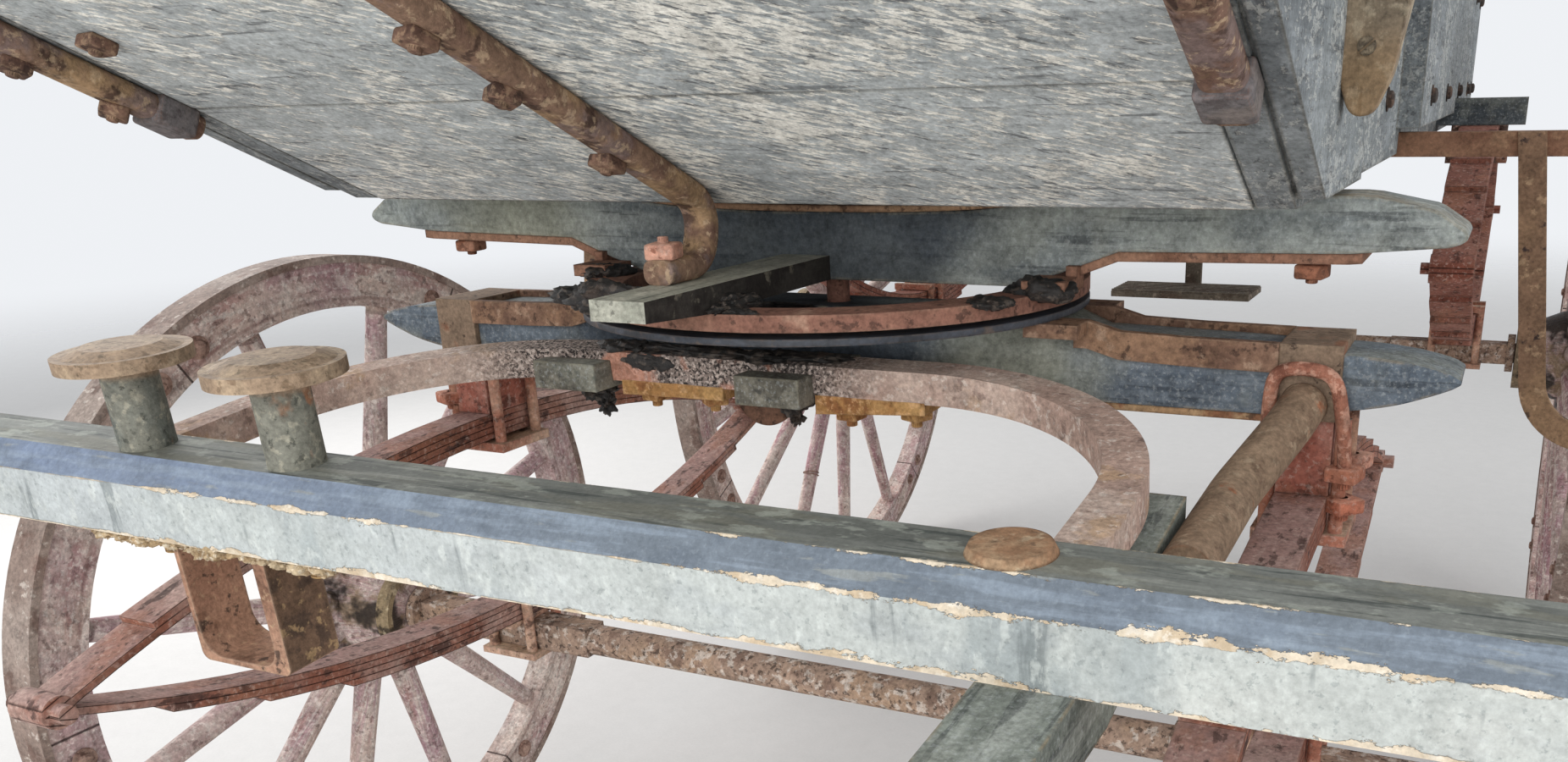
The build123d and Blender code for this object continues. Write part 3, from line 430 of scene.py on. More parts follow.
arc = leaf_shape("front", leaves=4, thick=0.007, eye=0.014)
dress(red_lead("front leaves", "a08078", "8a5a4a", "463531", "b39a90", arc),
      "front_spring_lower", "front_spring_upper")
arc = leaf_shape("rear", leaves=5, thick=0.009, eye=0.020)
dress(red_lead("rear leaves", "8c5c4f", "7d4a3c", "4a2f28", "a57a6a", arc),
      "rear_spring_lower", "rear_spring_upper")
dress(red_lead("clips in red lead", "c0a68e", "a9705c", "5a4238", "d3bda4"),
      "front_axle_clips", "rear_axle_clips", "bed_bolts")
dress(red_lead("saddles", "a87060", "9c5f50", "5a3a32", "bf988a"), "saddles")


# Lower bed: an oak bolster like a flat boat, in slate-blue paint rubbed to grey-green where the
# wheel plate turns, with iron plates at its ends and straps down to the springs.
def slate(name, along, deep, mid, pale, rubbed, bare, light=0.5, shadow_and_grease=None, buffed=None):
    """Old slate paint on a timber: grain along one axis, dust on top, bare wood at corners.
    Buffed is a reach along x that rubbing has yellowed. The other reach along x is darkened to
    blue-black:
    grease on the lower bed, and painted shadow under the stay on the upper bed."""
    f = Finish(name)
    grain = tuple(1.0 if axis == along else 14.0 for axis in "xyz")
    up = f.facing("z").rise(0.25, 0.8)
    colour = f.coats(deep, [(5, 0.42, 0.62, 1.0, mid)])
    colour = f.tint(up * f.cloud(6, 4).rise(0.36, 0.56) * light, colour, rubbed)
    colour = f.coats(colour, [
        (3, grain, 0.48, 0.62, 0.5, pale),
        (8, grain, 0.43, 0.36, 0.5, "2c2f33"),
        (12, 0.5, 0.62, 0.35, "85877c"), (130, 0.5, 0.62, 0.26, pale),
        (280, 0.54, 0.62, 0.3, "a9adac")])
    # The dark reach is real grease on the lower bed, and painted shadow under the stay on the upper
    # bed.
    for reach, over, hides in ((buffed, "8f8f7c", 0.65), (shadow_and_grease, "30363e", 0.80)):
        if reach:
            start, end = reach
            drift = f.x + (f.cloud(7, 3) - 0.5) * 0.25
            zone = drift.rise(start - 0.05, start + 0.05) * drift.rise(end + 0.05, end - 0.05)
            colour = f.tint(zone * hides, colour, over)
    dust = f.cloud(50, 4, 0.7)
    colour = f.tint(f.edges(0.004) * dust.rise(0.4, 0.56) * 0.75, colour, bare)
    height = f.cloud(4, 5, 0.65, grain) * 0.8 + dust * 0.35
    return f.done(colour, 0.70 + dust * 0.15, height, 0.0014)


dress(slate("slate blue lower", "x", "505963", "68727b", "848c92", "8f8f80", "a8987c",
            shadow_and_grease=(-0.30, 0.06), buffed=(0.10, 0.25)), "lower_bed")


def cut_by(tool, operation="DIFFERENCE"):
    """Cuts the active piece by another, which goes."""
    cut = bpy.context.object.modifiers.new("cut", "BOOLEAN")
    cut.operation = operation
    cut.solver = "EXACT"
    cut.object = tool
    bpy.ops.object.modifier_apply(modifier=cut.name)
    bpy.data.objects.remove(tool)


def worn_corners(width, sharper_than=30):
    """Rounds the corners of the active piece that turn by more than this many degrees."""
    soften = bpy.context.object.modifiers.new("worn corners", "BEVEL")
    soften.width = width
    soften.segments = 2
    soften.angle_limit = radians(sharper_than)
    bpy.ops.object.modifier_apply(modifier=soften.name)


def boat_points(name, body, ridge):
    """The bed with its ends shaved to a boat's point; ridge steers the curve, from the top of
    the right end round its point to the underside."""
    for _ in range(4):
        softer = [ridge[0]]
        for (x0, z0), (x1, z1) in zip(ridge, ridge[1:]):
            softer += [(x0 + (x1 - x0) * t, z0 + (z1 - z0) * t) for t in (0.25, 0.75)]
        ridge = softer + [ridge[-1]]
    (top_x, top_z), (foot_x, foot_z) = ridge[0], ridge[-1]
    inward, clear = 0.002, 0.08
    right = [(top_x - inward, top_z + clear)] + ridge + [(foot_x - inward, foot_z - clear)]
    outline = right + [(-x, z) for x, z in reversed(right)]
    count = len(outline)
    points = [(x, y, z) for y in (KING_Y - 0.1, KING_Y + 0.1) for x, z in outline]
    faces = [list(range(count)), list(range(2 * count - 1, count - 1, -1))]
    faces += [[(i + 1) % count, i, i + count, (i + 1) % count + count] for i in range(count)]
    shell = bpy.data.meshes.new("shaving")
    shell.from_pydata(points, [], faces)
    keep = new_piece("shaving", shell)
    edit_all(bpy.ops.mesh.normals_make_consistent, inside=False)
    timber = nodes[name].copy()
    timber.data = nodes[name].data.copy()
    bpy.context.collection.objects.link(timber)
    pick(timber)
    edit_all(bpy.ops.mesh.remove_doubles, threshold=0.00002)
    edit_all(bpy.ops.mesh.dissolve_limited, angle_limit=radians(0.5))
    cut_by(keep, "INTERSECT")
    worn_corners(0.0015, 40)
    timber.name = timber.data.name = f"{name}_shaved"
    bpy.ops.object.shade_smooth_by_angle(angle=radians(30))
    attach(timber, body)
    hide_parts(name)


KING_Y = (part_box("king_bolt")[0].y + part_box("king_bolt")[1].y) / 2
boat_points("lower_bed", "forecarriage", [
    (0.420, 0.8263), (0.505, 0.8243), (0.548, 0.8165), (0.566, 0.8080), (0.548, 0.7985),
    (0.503, 0.7820), (0.415, 0.7717)])
dress(forged("bed plates", "a0805f", [
    (8, 0.46, 0.6, 0.8, "b59a78"), (30, 0.54, 0.64, 0.7, "7c4a36"),
    (120, 0.42, 0.35, 0.7, "4a3a30")]), "bed_plates")
dress(forged("bed straps", "85715f", [
    (12, 0.48, 0.62, 0.7, "9a8771"), (24, 0.56, 0.66, 0.7, "8a5a42"),
    (80, 0.4, 0.34, 0.8, "3b302b")], worn="a88f74"), "bed_straps")


# Hoop and nuts: an iron rod bent over the stay's foot ties it to the right strap. Forged square
# nuts, two on one end and one on the others, hold the straps' bolts under the bed.
def block(size, middle=(0, 0, 0)):
    """A squared block on its own."""
    bpy.ops.mesh.primitive_cube_add(size=1, location=middle, scale=size)
    bpy.ops.object.transform_apply()
    return bpy.context.object


def square_nut(size, height, bolt_r, bolt_out):
    """A hammered square nut with the bolt's end through it, standing on z = 0."""
    nut = block((size, size, height), (0, 0, height / 2))
    edit_all(bpy.ops.mesh.bevel, offset=size * 0.10, segments=2)
    bpy.ops.mesh.primitive_cylinder_add(vertices=16, radius=bolt_r, depth=height + bolt_out,
                                        location=(0, 0, (height + bolt_out) / 2))
    bolt = bpy.context.object
    bpy.ops.object.transform_apply()
    edit_all(bpy.ops.mesh.bevel, offset=bolt_r * 0.22, segments=2)
    pick(nut, bolt)
    bpy.ops.object.join()


def at(x, y, z, tip=0.0, turn=0.0):
    """A place measured from the king bolt, tipped about x and turned about z."""
    return (Matrix.Translation((x, y + KING_Y, z)) @ Matrix.Rotation(tip, 4, "X")
            @ Matrix.Rotation(turn, 4, "Z"))


salmon = red_lead("salmon nuts", "c58a72", "b26e56", "7c4a3a", "d8b09c")
STRAP_X, STRAP_Y = 0.481, 0.031
square_nut(size=0.027, height=0.013, bolt_r=0.006, bolt_out=0.007)
piece_of("strap_nuts", salmon, [
    at(STRAP_X, -STRAP_Y, 0.733, pi, 0.2), at(STRAP_X, -STRAP_Y, 0.706, pi, 0.75),
    at(-STRAP_X, -STRAP_Y, 0.728, pi, 0.4), at(-STRAP_X, STRAP_Y, 0.728, pi, 0.1),
    at(STRAP_X, STRAP_Y, 0.728, pi, 0.3)], "forecarriage")

HOOP = [
    # points from the king bolt: up behind the stay's foot, over it and down by the strap
    (0.4185, -0.047, 0.752), (0.4185, -0.049, 0.790), (0.423, -0.050, 0.8125),
    (0.446, -0.051, 0.8165), (0.470, -0.050, 0.8110), (0.4765, -0.046, 0.780),
    (0.4805, -0.038, 0.745), (0.481, -0.032, 0.720)]
rod = bpy.data.curves.new("stay_hoop", "CURVE")
rod.dimensions = "3D"
rod.bevel_depth = 0.0058
rod.bevel_resolution = 4
rod.use_fill_caps = True
run = rod.splines.new("NURBS")
run.points.add(len(HOOP) - 1)
for point, (x, y, z) in zip(run.points, HOOP):
    point.co = (x, y + KING_Y, z, 1)
run.order_u = 3
run.use_endpoint_u = True
run.resolution_u = 12
new_piece("stay_hoop", rod)
bpy.ops.object.convert(target="MESH")
piece_of("stay_hoop", forged("hoop iron", "93614f", [
    (16, 0.44, 0.58, 0.8, "a5745f"), (60, 0.5, 0.6, 0.7, "6d4336"),
    (130, 0.5, 0.58, 0.6, "c39a86")]), HERE, "forecarriage")
square_nut(size=0.024, height=0.012, bolt_r=0.005, bolt_out=0.004)
piece_of("bed_iron_nuts", forged("bed iron nuts", "96654f", [
    (40, 0.45, 0.58, 0.8, "a9806a"), (120, 0.5, 0.58, 0.7, "5e4034")]),
    [at(side * 0.440, -0.012, 0.8935, pi, side * 0.15) for side in (-1, 1)], "wagon")


# Lower wheel plate and its loop irons: two flat irons on edge bow out from the clamps to the
# plate, so that it can't tip. The plate is black with old grease.
dress(forged("greased plate", "3a3e46", [
    (12, 0.48, 0.6, 0.8, "232529"),
    (40, 0.58, 0.66, 0.6, "6b5a4c")], 0.0010, 0.45, shine=0.5), "lower_ring")
dress(forged("loop irons", "7e6251", [
    (9, 0.44, 0.58, 0.8, "8f7058"), (26, 0.5, 0.62, 0.7, "654c40"),
    (90, 0.44, 0.37, 0.7, "3c2e28"), (60, 0.54, 0.64, 0.6, "a98e78")]), "loop_irons")


# Grease: old cart grease mixed with dust, squeezed out from between the plates in black lumps
# that cling to the ring, the ears and the block, with a few tufts hanging below.
def lump(centre, size, ragged, seed):
    """A soft mass whose skin is pushed in and out; its place is measured from the king bolt."""
    bpy.ops.mesh.primitive_ico_sphere_add(subdivisions=4, radius=1)
    mass = bpy.context.object
    away = Vector((seed * 3.1, seed * 1.7, -seed * 2.3))
    for point in mass.data.vertices:
        spot = Vector([c * s for c, s in zip(point.co, size)])
        push = noise.fractal(spot * 45 + away, 0.9, 2.0, 5)
        grain = noise.fractal(spot * 260 + away, 0.8, 2.0, 3)
        point.co = spot * (1 + push * 0.55) + point.co * grain * ragged
    mass.location = at(*centre).translation
    return mass


def lumps(name, rows, material, body):
    """Lumps as one piece. A row is a lump's place, its half sizes and how ragged it is."""
    masses = [lump(*row, seed) for seed, row in enumerate(rows, 1)]
    pick(*masses)
    bpy.ops.object.join()
    piece_of(name, material, HERE, body, 70)


f = Finish("old grease")
colour = f.coats("2a2725", [
    (60, 0.46, 0.58, 0.8, "161514"), (120, 0.52, 0.6, 0.7, "5b5149"),
    (30, 0.56, 0.64, 0.5, "4a3a30")])
grease = f.done(colour, 0.55, f.cloud(200, 5, 0.75), 0.0014, shine=0.4)
lumps("ring_grease", [
    ((-0.095, -0.222, 0.872), (0.040, 0.016, 0.014), 0.004),
    ((-0.140, -0.200, 0.871), (0.034, 0.018, 0.010), 0.004),
    ((-0.060, -0.232, 0.876), (0.020, 0.012, 0.012), 0.004),
    ((0.014, -0.205, 0.873), (0.012, 0.050, 0.008), 0.003),
    ((0.030, -0.228, 0.868), (0.022, 0.010, 0.005), 0.002),
    ((0.226, -0.066, 0.872), (0.028, 0.018, 0.010), 0.003),
    ((0.200, -0.120, 0.868), (0.020, 0.022, 0.005), 0.002),
    ((-0.226, -0.066, 0.872), (0.026, 0.018, 0.009), 0.003)], grease, "wagon")
lumps("plate_grease", [
    ((-0.110, -0.112, 0.810), (0.062, 0.014, 0.005), 0.003),
    ((-0.030, -0.122, 0.811), (0.050, 0.016, 0.005), 0.003),
    ((-0.170, -0.112, 0.810), (0.034, 0.016, 0.006), 0.003),
    ((0.020, -0.110, 0.811), (0.045, 0.014, 0.004), 0.002),
    ((-0.130, -0.130, 0.800), (0.030, 0.004, 0.008), 0.002),
    ((-0.215, -0.105, 0.765), (0.017, 0.014, 0.011), 0.006),
    ((-0.208, -0.104, 0.752), (0.007, 0.007, 0.012), 0.006),
    ((0.004, -0.105, 0.766), (0.015, 0.012, 0.009), 0.006),
    ((0.008, -0.106, 0.755), (0.006, 0.006, 0.010), 0.006),
    ((-0.060, -0.070, 0.845), (0.080, 0.030, 0.004), 0.002)], grease, "forecarriage")


# Upper bed: the same kind of bolster, fixed under the body, with irons along its underside
# that end in ears on the upper wheel plate.
# The dark reach in the middle of this bed is painted shadow, where the stay shades the bed's front.
dress(slate("slate blue upper", "x", "727878", "90958f", "a2a6a0", "8b7c64", "a39880", 0.8,
            shadow_and_grease=(-0.17, 0.14), buffed=(-0.42, -0.26)), "upper_bed")
boat_points("upper_bed", "wagon", [
    (0.470, 0.9483), (0.520, 0.9440), (0.558, 0.9215), (0.548, 0.9100), (0.500, 0.9062),
    (0.465, 0.9037)])
dress(forged("bed irons", "8f6a57", [
    (8, 0.46, 0.62, 0.7, "9d7962"), (24, 0.55, 0.66, 0.6, "74503f"),
    (100, 0.4, 0.34, 0.6, "463630")], 0.0010), "upper_bed_irons")
dress(forged("upper wheel plate", "855f51", [
    (7, 0.46, 0.6, 0.8, "96715f"), (20, 0.56, 0.66, 0.7, "5c433a"),
    (90, 0.42, 0.35, 0.6, "332825"),
    (14, 0.6, 0.68, 0.6, "b08f7a")], 0.0012), "upper_ring", "king_bolt")


# Top iron: a flat iron let along the front of the upper bed's top, sagging with it, with a
# square bolt head near the king bolt.
BED_TOP = [
    # distance from the middle, height of the bed's top
    (0.000, 0.930), (0.060, 0.930), (0.150, 0.933), (0.300, 0.948), (0.600, 0.948)]


def bed_top(x):
    """The height of the bed's top, x from its middle."""
    out = abs(x)
    for (x0, z0), (x1, z1) in zip(BED_TOP, BED_TOP[1:]):
        if out <= x1:
            return z0 + (z1 - z0) * (out - x0) / (x1 - x0)


TOP_IRON_HALF = 0.360
TOP_IRON_T = 0.006
TOP_IRON_W = 0.070
bpy.ops.mesh.primitive_grid_add(x_subdivisions=72, y_subdivisions=8, size=1,
                                location=(0, KING_Y, 0))
iron = bpy.context.object
iron.scale = (2 * TOP_IRON_HALF, TOP_IRON_W, 1)
bpy.ops.object.transform_apply()
for point in iron.data.vertices:
    smooth = sum(bed_top(point.co.x + step) for step in (-0.03, -0.015, 0, 0.015, 0.03)) / 5
    point.co.z = max(smooth, bed_top(point.co.x)) + TOP_IRON_T
thick = iron.modifiers.new("thickness", "SOLIDIFY")
thick.thickness = TOP_IRON_T
thick.offset = -1
bpy.ops.object.modifier_apply(modifier=thick.name)
worn_corners(0.0012)
top_iron = forged("top iron", "96765c", [
    (6, (1, 2, 2), 0.44, 0.58, 0.8, "aa8a6a"), (20, 0.5, 0.62, 0.7, "7a5a48"),
    (80, 0.44, 0.37, 0.7, "4a362d")])
piece_of("bed_top_iron", top_iron, HERE, "wagon")
square_nut(size=0.024, height=0.009, bolt_r=0.005, bolt_out=0.001)
piece_of("top_iron_bolts", salmon, [
    at(0.090, -0.018, 0.9365, 0, 0.1), at(-0.110, -0.018, 0.9375, 0, 0.3),
    at(0.300, -0.018, 0.9535, 0, 0.2)], "wagon")


# Perch block: a length of oak tenoned into the upper bed, pale and dusty on top, black with
# grease along its sides.
f = Finish("perch block")
up = f.facing("z").rise(0.3, 0.8)
front = f.facing("y").rise(-0.5, -0.8)
worn = f.coats("97978a", [
    (4, (14, 1, 14), 0.44, 0.6, 0.7, "b2b0a2"), (10, (14, 1, 14), 0.42, 0.34, 0.6, "4f4f49"),
    (40, 0.56, 0.66, 0.6, "c9c5b5")])
black = f.coats("3a3632", [
    (18, 0.46, 0.58, 0.8, "231f1d"), (40, 0.58, 0.66, 0.6, "7a7466")])
height = f.cloud(5, 5, 0.65, (14, 1, 14)) + f.cloud(60, 4) * 0.5
dress(f.done(f.tint(up.most(front), black, worn), 0.75, height, 0.0015), "perch_block")


# Futchell: the timber that carries the bar, flaking grey, and the round rod that ties it back
# to the bed.
dress(slate("futchell grey", "y", "676c65", "7f847b", "a8aba3", "8d9288", "a08a68"), "futchell")
dress(forged("stay rod", "856f5b", [
    (9, 0.46, 0.6, 0.8, "957f69"), (26, (1, 1, 2), 0.54, 0.64, 0.7, "634f40"),
    (60, 0.56, 0.64, 0.5, "a9967e"), (30, 0.62, 0.7, 0.8, "8f5b40")]), "futchell_stay")


# Sweep bar: a thick horseshoe of iron from the bar round the front of the lower bed. Its front
# is a salt and pepper crust over old grease, with orange patches rubbed clean.
f = Finish("sweep crust")
front = f.y.rise(-0.87, -0.8) * f.x.rise(-0.36, -0.26) * f.x.rise(0.13, 0.03)
side = f.coats("a98f82", [
    (7, 0.46, 0.6, 0.8, "b9a598"), (16, 0.54, 0.64, 0.6, "b0906e"),
    (60, 0.42, 0.34, 0.6, "6f5a52"), (120, 0.56, 0.64, 0.6, "d3c5ba")])
middle = f.coats("85776f", [
    (14, 0.52, 0.62, 0.7, "4b4441"), (260, 0.49, 0.56, 0.85, "bfb0a6"),
    (340, 0.5, 0.43, 0.95, "2b2726"), (9, 0.58, 0.64, 0.8, "b5806a")])
height = f.cloud(30, 5, 0.7) * 0.6 + f.cloud(140, 4, 0.75) * 0.8
dress(f.done(f.tint(front, side, middle), 0.82, height, 0.0020), "sweep_bar")
dress(slate("stub blocks", "y", "4e4b44", "6b675c", "918d80", "6d6a60", "8f8874"), "under_blocks")


# Carrier irons: two flat irons under the front of the lower bed that reach forward and carry
# the sweep bar, ochre with rust, with square nuts below.
ochre = forged("carrier irons", "9d7448", [
    (14, 0.44, 0.58, 0.8, "ae8a5a"), (40, 0.5, 0.6, 0.7, "7a4c30"),
    (110, 0.52, 0.6, 0.6, "caa276")], 0.0018)
CARRIERS = [
    # left end, right end, lower edge at each
    (0.040, 0.146, 0.764, 0.771),
    (-0.168, -0.056, 0.768, 0.769),
]
CARRIER_Z = 0.775
LIP_Z = 0.7815
BED_FOOT_Z = 0.7720
for number, (left, right, low_left, low_right) in enumerate(CARRIERS, 1):
    plate = block((right - left, 0.099, 0.015), ((left + right) / 2, KING_Y - 0.0785, CARRIER_Z))
    edit_all(bpy.ops.mesh.subdivide, number_cuts=6)
    for point in plate.data.vertices:
        share = (point.co.x - left) / (right - left)
        top = LIP_Z if point.co.y < KING_Y - 0.05 else BED_FOOT_Z
        base = low_left + (low_right - low_left) * share
        point.co.z = top if point.co.z > CARRIER_Z else base
        point.co.z += noise.noise(point.co * 60) * 0.0008
    worn_corners(0.0015)
    piece_of(f"carrier_iron_{number}", ochre, HERE, "forecarriage")


# Sweep disc: a round iron disc on edge, like a large washer, stands under the front of the
# sweep between the two carrier irons, brown and pitted.
bpy.ops.mesh.primitive_cylinder_add(vertices=40, radius=0.032, depth=0.007)
edit_all(bpy.ops.mesh.bevel, offset=0.0014, segments=2)
piece_of("sweep_disc", forged("sweep disc", "5f4639", [
    (30, 0.46, 0.6, 0.7, "765645"), (90, 0.5, 0.6, 0.8, "33261f")]),
    [at(-0.033, -0.0905, 0.7715, pi / 2)], "forecarriage")


# Carrier nuts: two square nuts on bolts below each carrier iron, ochre like the iron.
square_nut(size=0.021, height=0.010, bolt_r=0.005, bolt_out=0.006)
piece_of("carrier_nuts", ochre, [
    at(0.064, -0.105, 0.7662, pi, 0.1), at(0.128, -0.105, 0.7705, pi, 0.4),
    at(-0.146, -0.105, 0.7690, pi, 0.2), at(-0.080, -0.105, 0.7690, pi, 0.7)], "forecarriage")


# Splinter bar: a heavy timber with a chamfer along its top front edge. Its top is dark
# green-grey, the chamfer blue-grey and the front pale, all chipped to bare wood at the edges.
LEAN = radians(3.1)
EDGE_Y, EDGE_Z = -0.489, 0.7586
f = Finish("splinter bar paint")
dy, dz = f.y - (KING_Y + EDGE_Y), f.z - EDGE_Z
back = dy * cos(LEAN) + dz * sin(LEAN)
rise = dz * cos(LEAN) - dy * sin(LEAN)
up = f.facing("z")
top = f.coats("7e807a", [
    (2.2, (1, 14, 14), 0.42, 0.58, 0.9, "646661"), (5, (1, 14, 14), 0.54, 0.64, 0.6, "9a9b92"),
    (9, (1, 12, 12), 0.45, 0.38, 0.8, "464b48"), (18, (0.4, 2, 2), 0.5, 0.6, 0.5, "7d7b6d"),
    (60, (0.5, 1, 1), 0.54, 0.62, 0.5, "a3a79c")])
chamfer = f.tint(f.x.rise(-0.5, 0.15), "7e8ba1", "757e87")
chamfer = f.coats(chamfer, [
    (3, (1, 3, 3), 0.42, 0.6, 0.6, "6c747d"), (7, (1, 12, 12), 0.48, 0.62, 0.5, "94a0ad"),
    (16, (1, 2, 2), 0.52, 0.64, 0.4, "5f6873"), (14, (1, 6, 6), 0.6, 0.66, 0.5, "9b9c94"),
    (260, 0.56, 0.64, 0.14, "a9b2b8")])
face = f.tint(f.x.rise(-0.2, 0.5), "b6bbbb", "c6c7c1")
face = f.coats(face, [
    (3, (1, 2, 2), 0.42, 0.6, 0.7, "b5bab6"), (6, (1, 2, 2), 0.5, 0.62, 0.5, "a2a7a8"),
    (10, (1, 1, 0.3), 0.54, 0.66, 0.5, "8f989a"), (26, (1, 1, 0.12), 0.61, 0.67, 0.6, "6d7474"),
    (90, (1, 1, 0.5), 0.55, 0.64, 0.5, "ccd0cb"), (200, 0.42, 0.35, 0.45, "848b8a")])
colour = f.tint(up.rise(0.35, 0.55), face, chamfer)
colour = f.tint(up.rise(0.86, 0.95), colour, top)
colour = f.tint(up.rise(-0.5, -0.9), colour, "9c917d")
ragged = f.cloud(26, 6, 0.75, (1, 2.2, 2.2))
places = f.cloud(3.4, 4, 0.6)
EDGES = [
    # back, rise, thin line all along, reach of the chips, how rare they are
    (0.0, 0.0, 0.0004, 0.030, 0.50),
    (0.018, 0.018, -0.0004, 0.018, 0.52),
    (0.0, -0.045, 0.0012, 0.030, 0.46),
    (0.069, 0.018, -0.0003, 0.016, 0.50),
]
chips = None
for edge_back, edge_rise, line, reach, rare in EDGES:
    away = ((back - edge_back) ** 2 + (rise - edge_rise) ** 2) ** 0.5
    width = (ragged - 0.44) * reach * places.rise(rare - 0.04, rare + 0.14) + line
    worn = (width + (ragged - 0.5) * 0.004 - away).rise(-0.0002, 0.0006)
    chips = worn if chips is None else chips.most(worn)
cream = f.coats("d8cab4", [
    (40, 0.48, 0.6, 0.8, "c0ab8e"), (90, 0.54, 0.62, 0.6, "e8e0d2")])
colour = f.tint(chips, colour, cream)
height = f.cloud(3, 6, 0.65, (1, 14, 14)) * 0.5 + f.cloud(160, 3, 0.6) * 0.15 - chips * 0.9
dress(f.done(colour, 0.66 + chips * 0.2 + f.cloud(20, 4) * 0.15, height, 0.0013, dirt=0.5),
      "splinter_bar")


# The bar's bolts: a broad disc head at the right, and two roller bolts like mushrooms at the
# left, on which the ends of the traces were hung.
dress(forged("bolt disc", "a1866a", [
    (18, 0.46, 0.58, 0.8, "8d6a50"), (40, 0.56, 0.64, 0.7, "b9a68a"),
    (90, 0.42, 0.35, 0.6, "5f4a3c")]), "bar_bolt")
f = Finish("roller bolt iron")
up = f.facing("z").rise(0.5, 0.9)
post = f.coats("7b7a6f", [
    (14, (1, 1, 0.6), 0.46, 0.6, 0.8, "666a64"), (16, (1, 1, 0.6), 0.55, 0.62, 0.85, "96694c"),
    (110, 0.54, 0.62, 0.6, "a09b8a"), (120, 0.42, 0.35, 0.7, "454640")])
head = f.coats("98826c", [
    (26, 0.46, 0.6, 0.7, "aa957c"), (70, 0.54, 0.62, 0.7, "7a6550"),
    (160, 0.42, 0.35, 0.6, "5d5242")])
THREAD_TOP = 0.710
THREADS_PER_M = 400
HEAD_FOOT = 0.833
thread = f.tint((f.z * THREADS_PER_M).part().rise(0.3, 0.7), "a5865c", "6f5539")
post = f.tint(f.z.rise(THREAD_TOP + 0.002, THREAD_TOP - 0.002), post, thread)
colour = f.tint(up.most(f.z.rise(HEAD_FOOT, HEAD_FOOT + 0.007)), post, head)
height = f.cloud(40, 5, 0.7) * 0.6 + f.cloud(160, 4) * 0.5
dress(f.done(colour, 0.7, height, 0.0012), "roller_bolts")


# Bracket: a flat bar bent to a U under the bar, hung from the roller bolts. The inside is
# smooth orange-brown, the outside a dark crust, and old putty clings under the bar.
BAR_FOOT = 0.699
OUTER_ARM = -0.289
f = Finish("bracket iron")
under_bar = f.z.rise(BAR_FOOT - 0.005, BAR_FOOT + 0.005)
colour = f.coats("9c7661", [
    (9, 0.46, 0.6, 0.7, "ab8770"), (30, 0.54, 0.64, 0.7, "6e5040"),
    (80, 0.42, 0.35, 0.8, "3f332e"), (110, 0.58, 0.66, 0.6, "b89c7e")])
outside = f.x.rise(OUTER_ARM - 0.003, OUTER_ARM + 0.003)
crust = f.coats("6f5847", [
    (40, 0.5, 0.6, 0.8, "4a3c34"), (70, 0.56, 0.63, 0.8, "a88c68")])
colour = f.tint(outside * f.facing("x").rise(0.6, 0.9), colour, crust)
colour = f.tint(f.edges(0.003) * 0.5, colour, "c9ab92")
putty = f.coats("c3ad8c", [
    (30, 0.5, 0.6, 0.8, "9d8460"), (90, 0.54, 0.62, 0.7, "e3d6bd")])
colour = f.tint(under_bar * 0.9, colour, putty)
dress(f.done(colour, 0.8, f.cloud(30, 5, 0.7) * 0.6 + f.cloud(110, 4, 0.7) * 0.6, 0.0016),
      "shaft_bracket_l")


# Putty crust: a ragged roll of old putty and dust along the foot of the bracket. It was pressed
# in under the bar by hand, and has cracked and crumbled since.
CRUST_X, CRUST_Y, CRUST_Z = -0.436, -0.470, 0.7095
CRUST_STEP = 0.0172
f = Finish("putty crust")
colour = f.coats("b89f7c", [
    (30, 0.46, 0.58, 0.8, "d3bf9f"), (90, 0.5, 0.6, 0.7, "8a6f50"),
    (160, 0.52, 0.6, 0.7, "e6dac4")])
crust = f.done(colour, 0.9, f.cloud(140, 5, 0.75), 0.0020)
rows = []
for step in range(15):
    drop = 0.006 + 0.0045 * noise.noise(Vector((step * 0.9, 0.3, 0)))
    y = CRUST_Y + 0.004 * noise.noise(Vector((step * 1.3, 4, 0)))
    rows.append(((CRUST_X + step * CRUST_STEP, y, CRUST_Z), (0.0125, 0.014, drop), 0.0035))
lumps("bracket_putty", rows, crust, "forecarriage")


# Body frame: sawn sills and bearers under the floor planks, with the rear bed bolted across
# them. Their paint has bleached to grey and is dark where the weather doesn't reach.
def boards(name, along, low_tone, mid, pale, fleck="cfcfc8", share=0.75, slant=None):
    """Bleached paint on boards: drift, grain, and white flecks where the brush skipped."""
    f = Finish(name)
    grain = tuple(1.0 if axis == along else 13.0 for axis in "xyz")
    colour = f.coats(mid, [
        (3.5, 0.44, 0.62, 0.8, low_tone),
        (4, grain, 0.48, 0.64, 0.6, pale),
        (9, grain, 0.42, 0.34, 0.6, "45474a")])
    if slant:
        down = f.z / slant
        way = f.vector((f.x - down * 0.6) * 0.24, (f.x * 0.6 + down) * 0.9, 0.0)
    else:
        way = f.node("VectorMath", {"operation": "MULTIPLY"},
                     {0: f.place, 1: tuple(0.3 if axis == along else 1.0 for axis in "xyz")})
    dense = f.cloud(8, 4, 0.6)
    flecks = (f.cloud(190, 4, 0.7, ROUND, way) + (dense - 0.5) * 0.6).rise(0.51, 0.57)
    dark = (f.cloud(120, 4, 0.7, ROUND, way) - (dense - 0.5) * 0.3).rise(0.44, 0.36)
    colour = f.tint(dark * 0.7, colour, "505153")
    colour = f.tint(flecks * share, colour, fleck)
    colour = f.tint(f.edges(0.004) * 0.5, colour, "8a8272")
    height = f.cloud(5, 5, 0.65, grain) * 0.8 + flecks * 0.25
    return f.done(colour, 0.85, height, 0.0014)


dress(boards("sill boards", "y", "4a5055", "5d6468", "7d8384", share=0.3), "sills", "bearers", "floor")
dress(slate("slate rear bed", "x", "33383c", "43494d", "5f6669", "4a5053", "7a7466"), "rear_bed")
dress(red_lead("rear bed bolts", "5a4a40", "4a3b34", "241f1d", "7a685a"), "rear_bed_bolts")


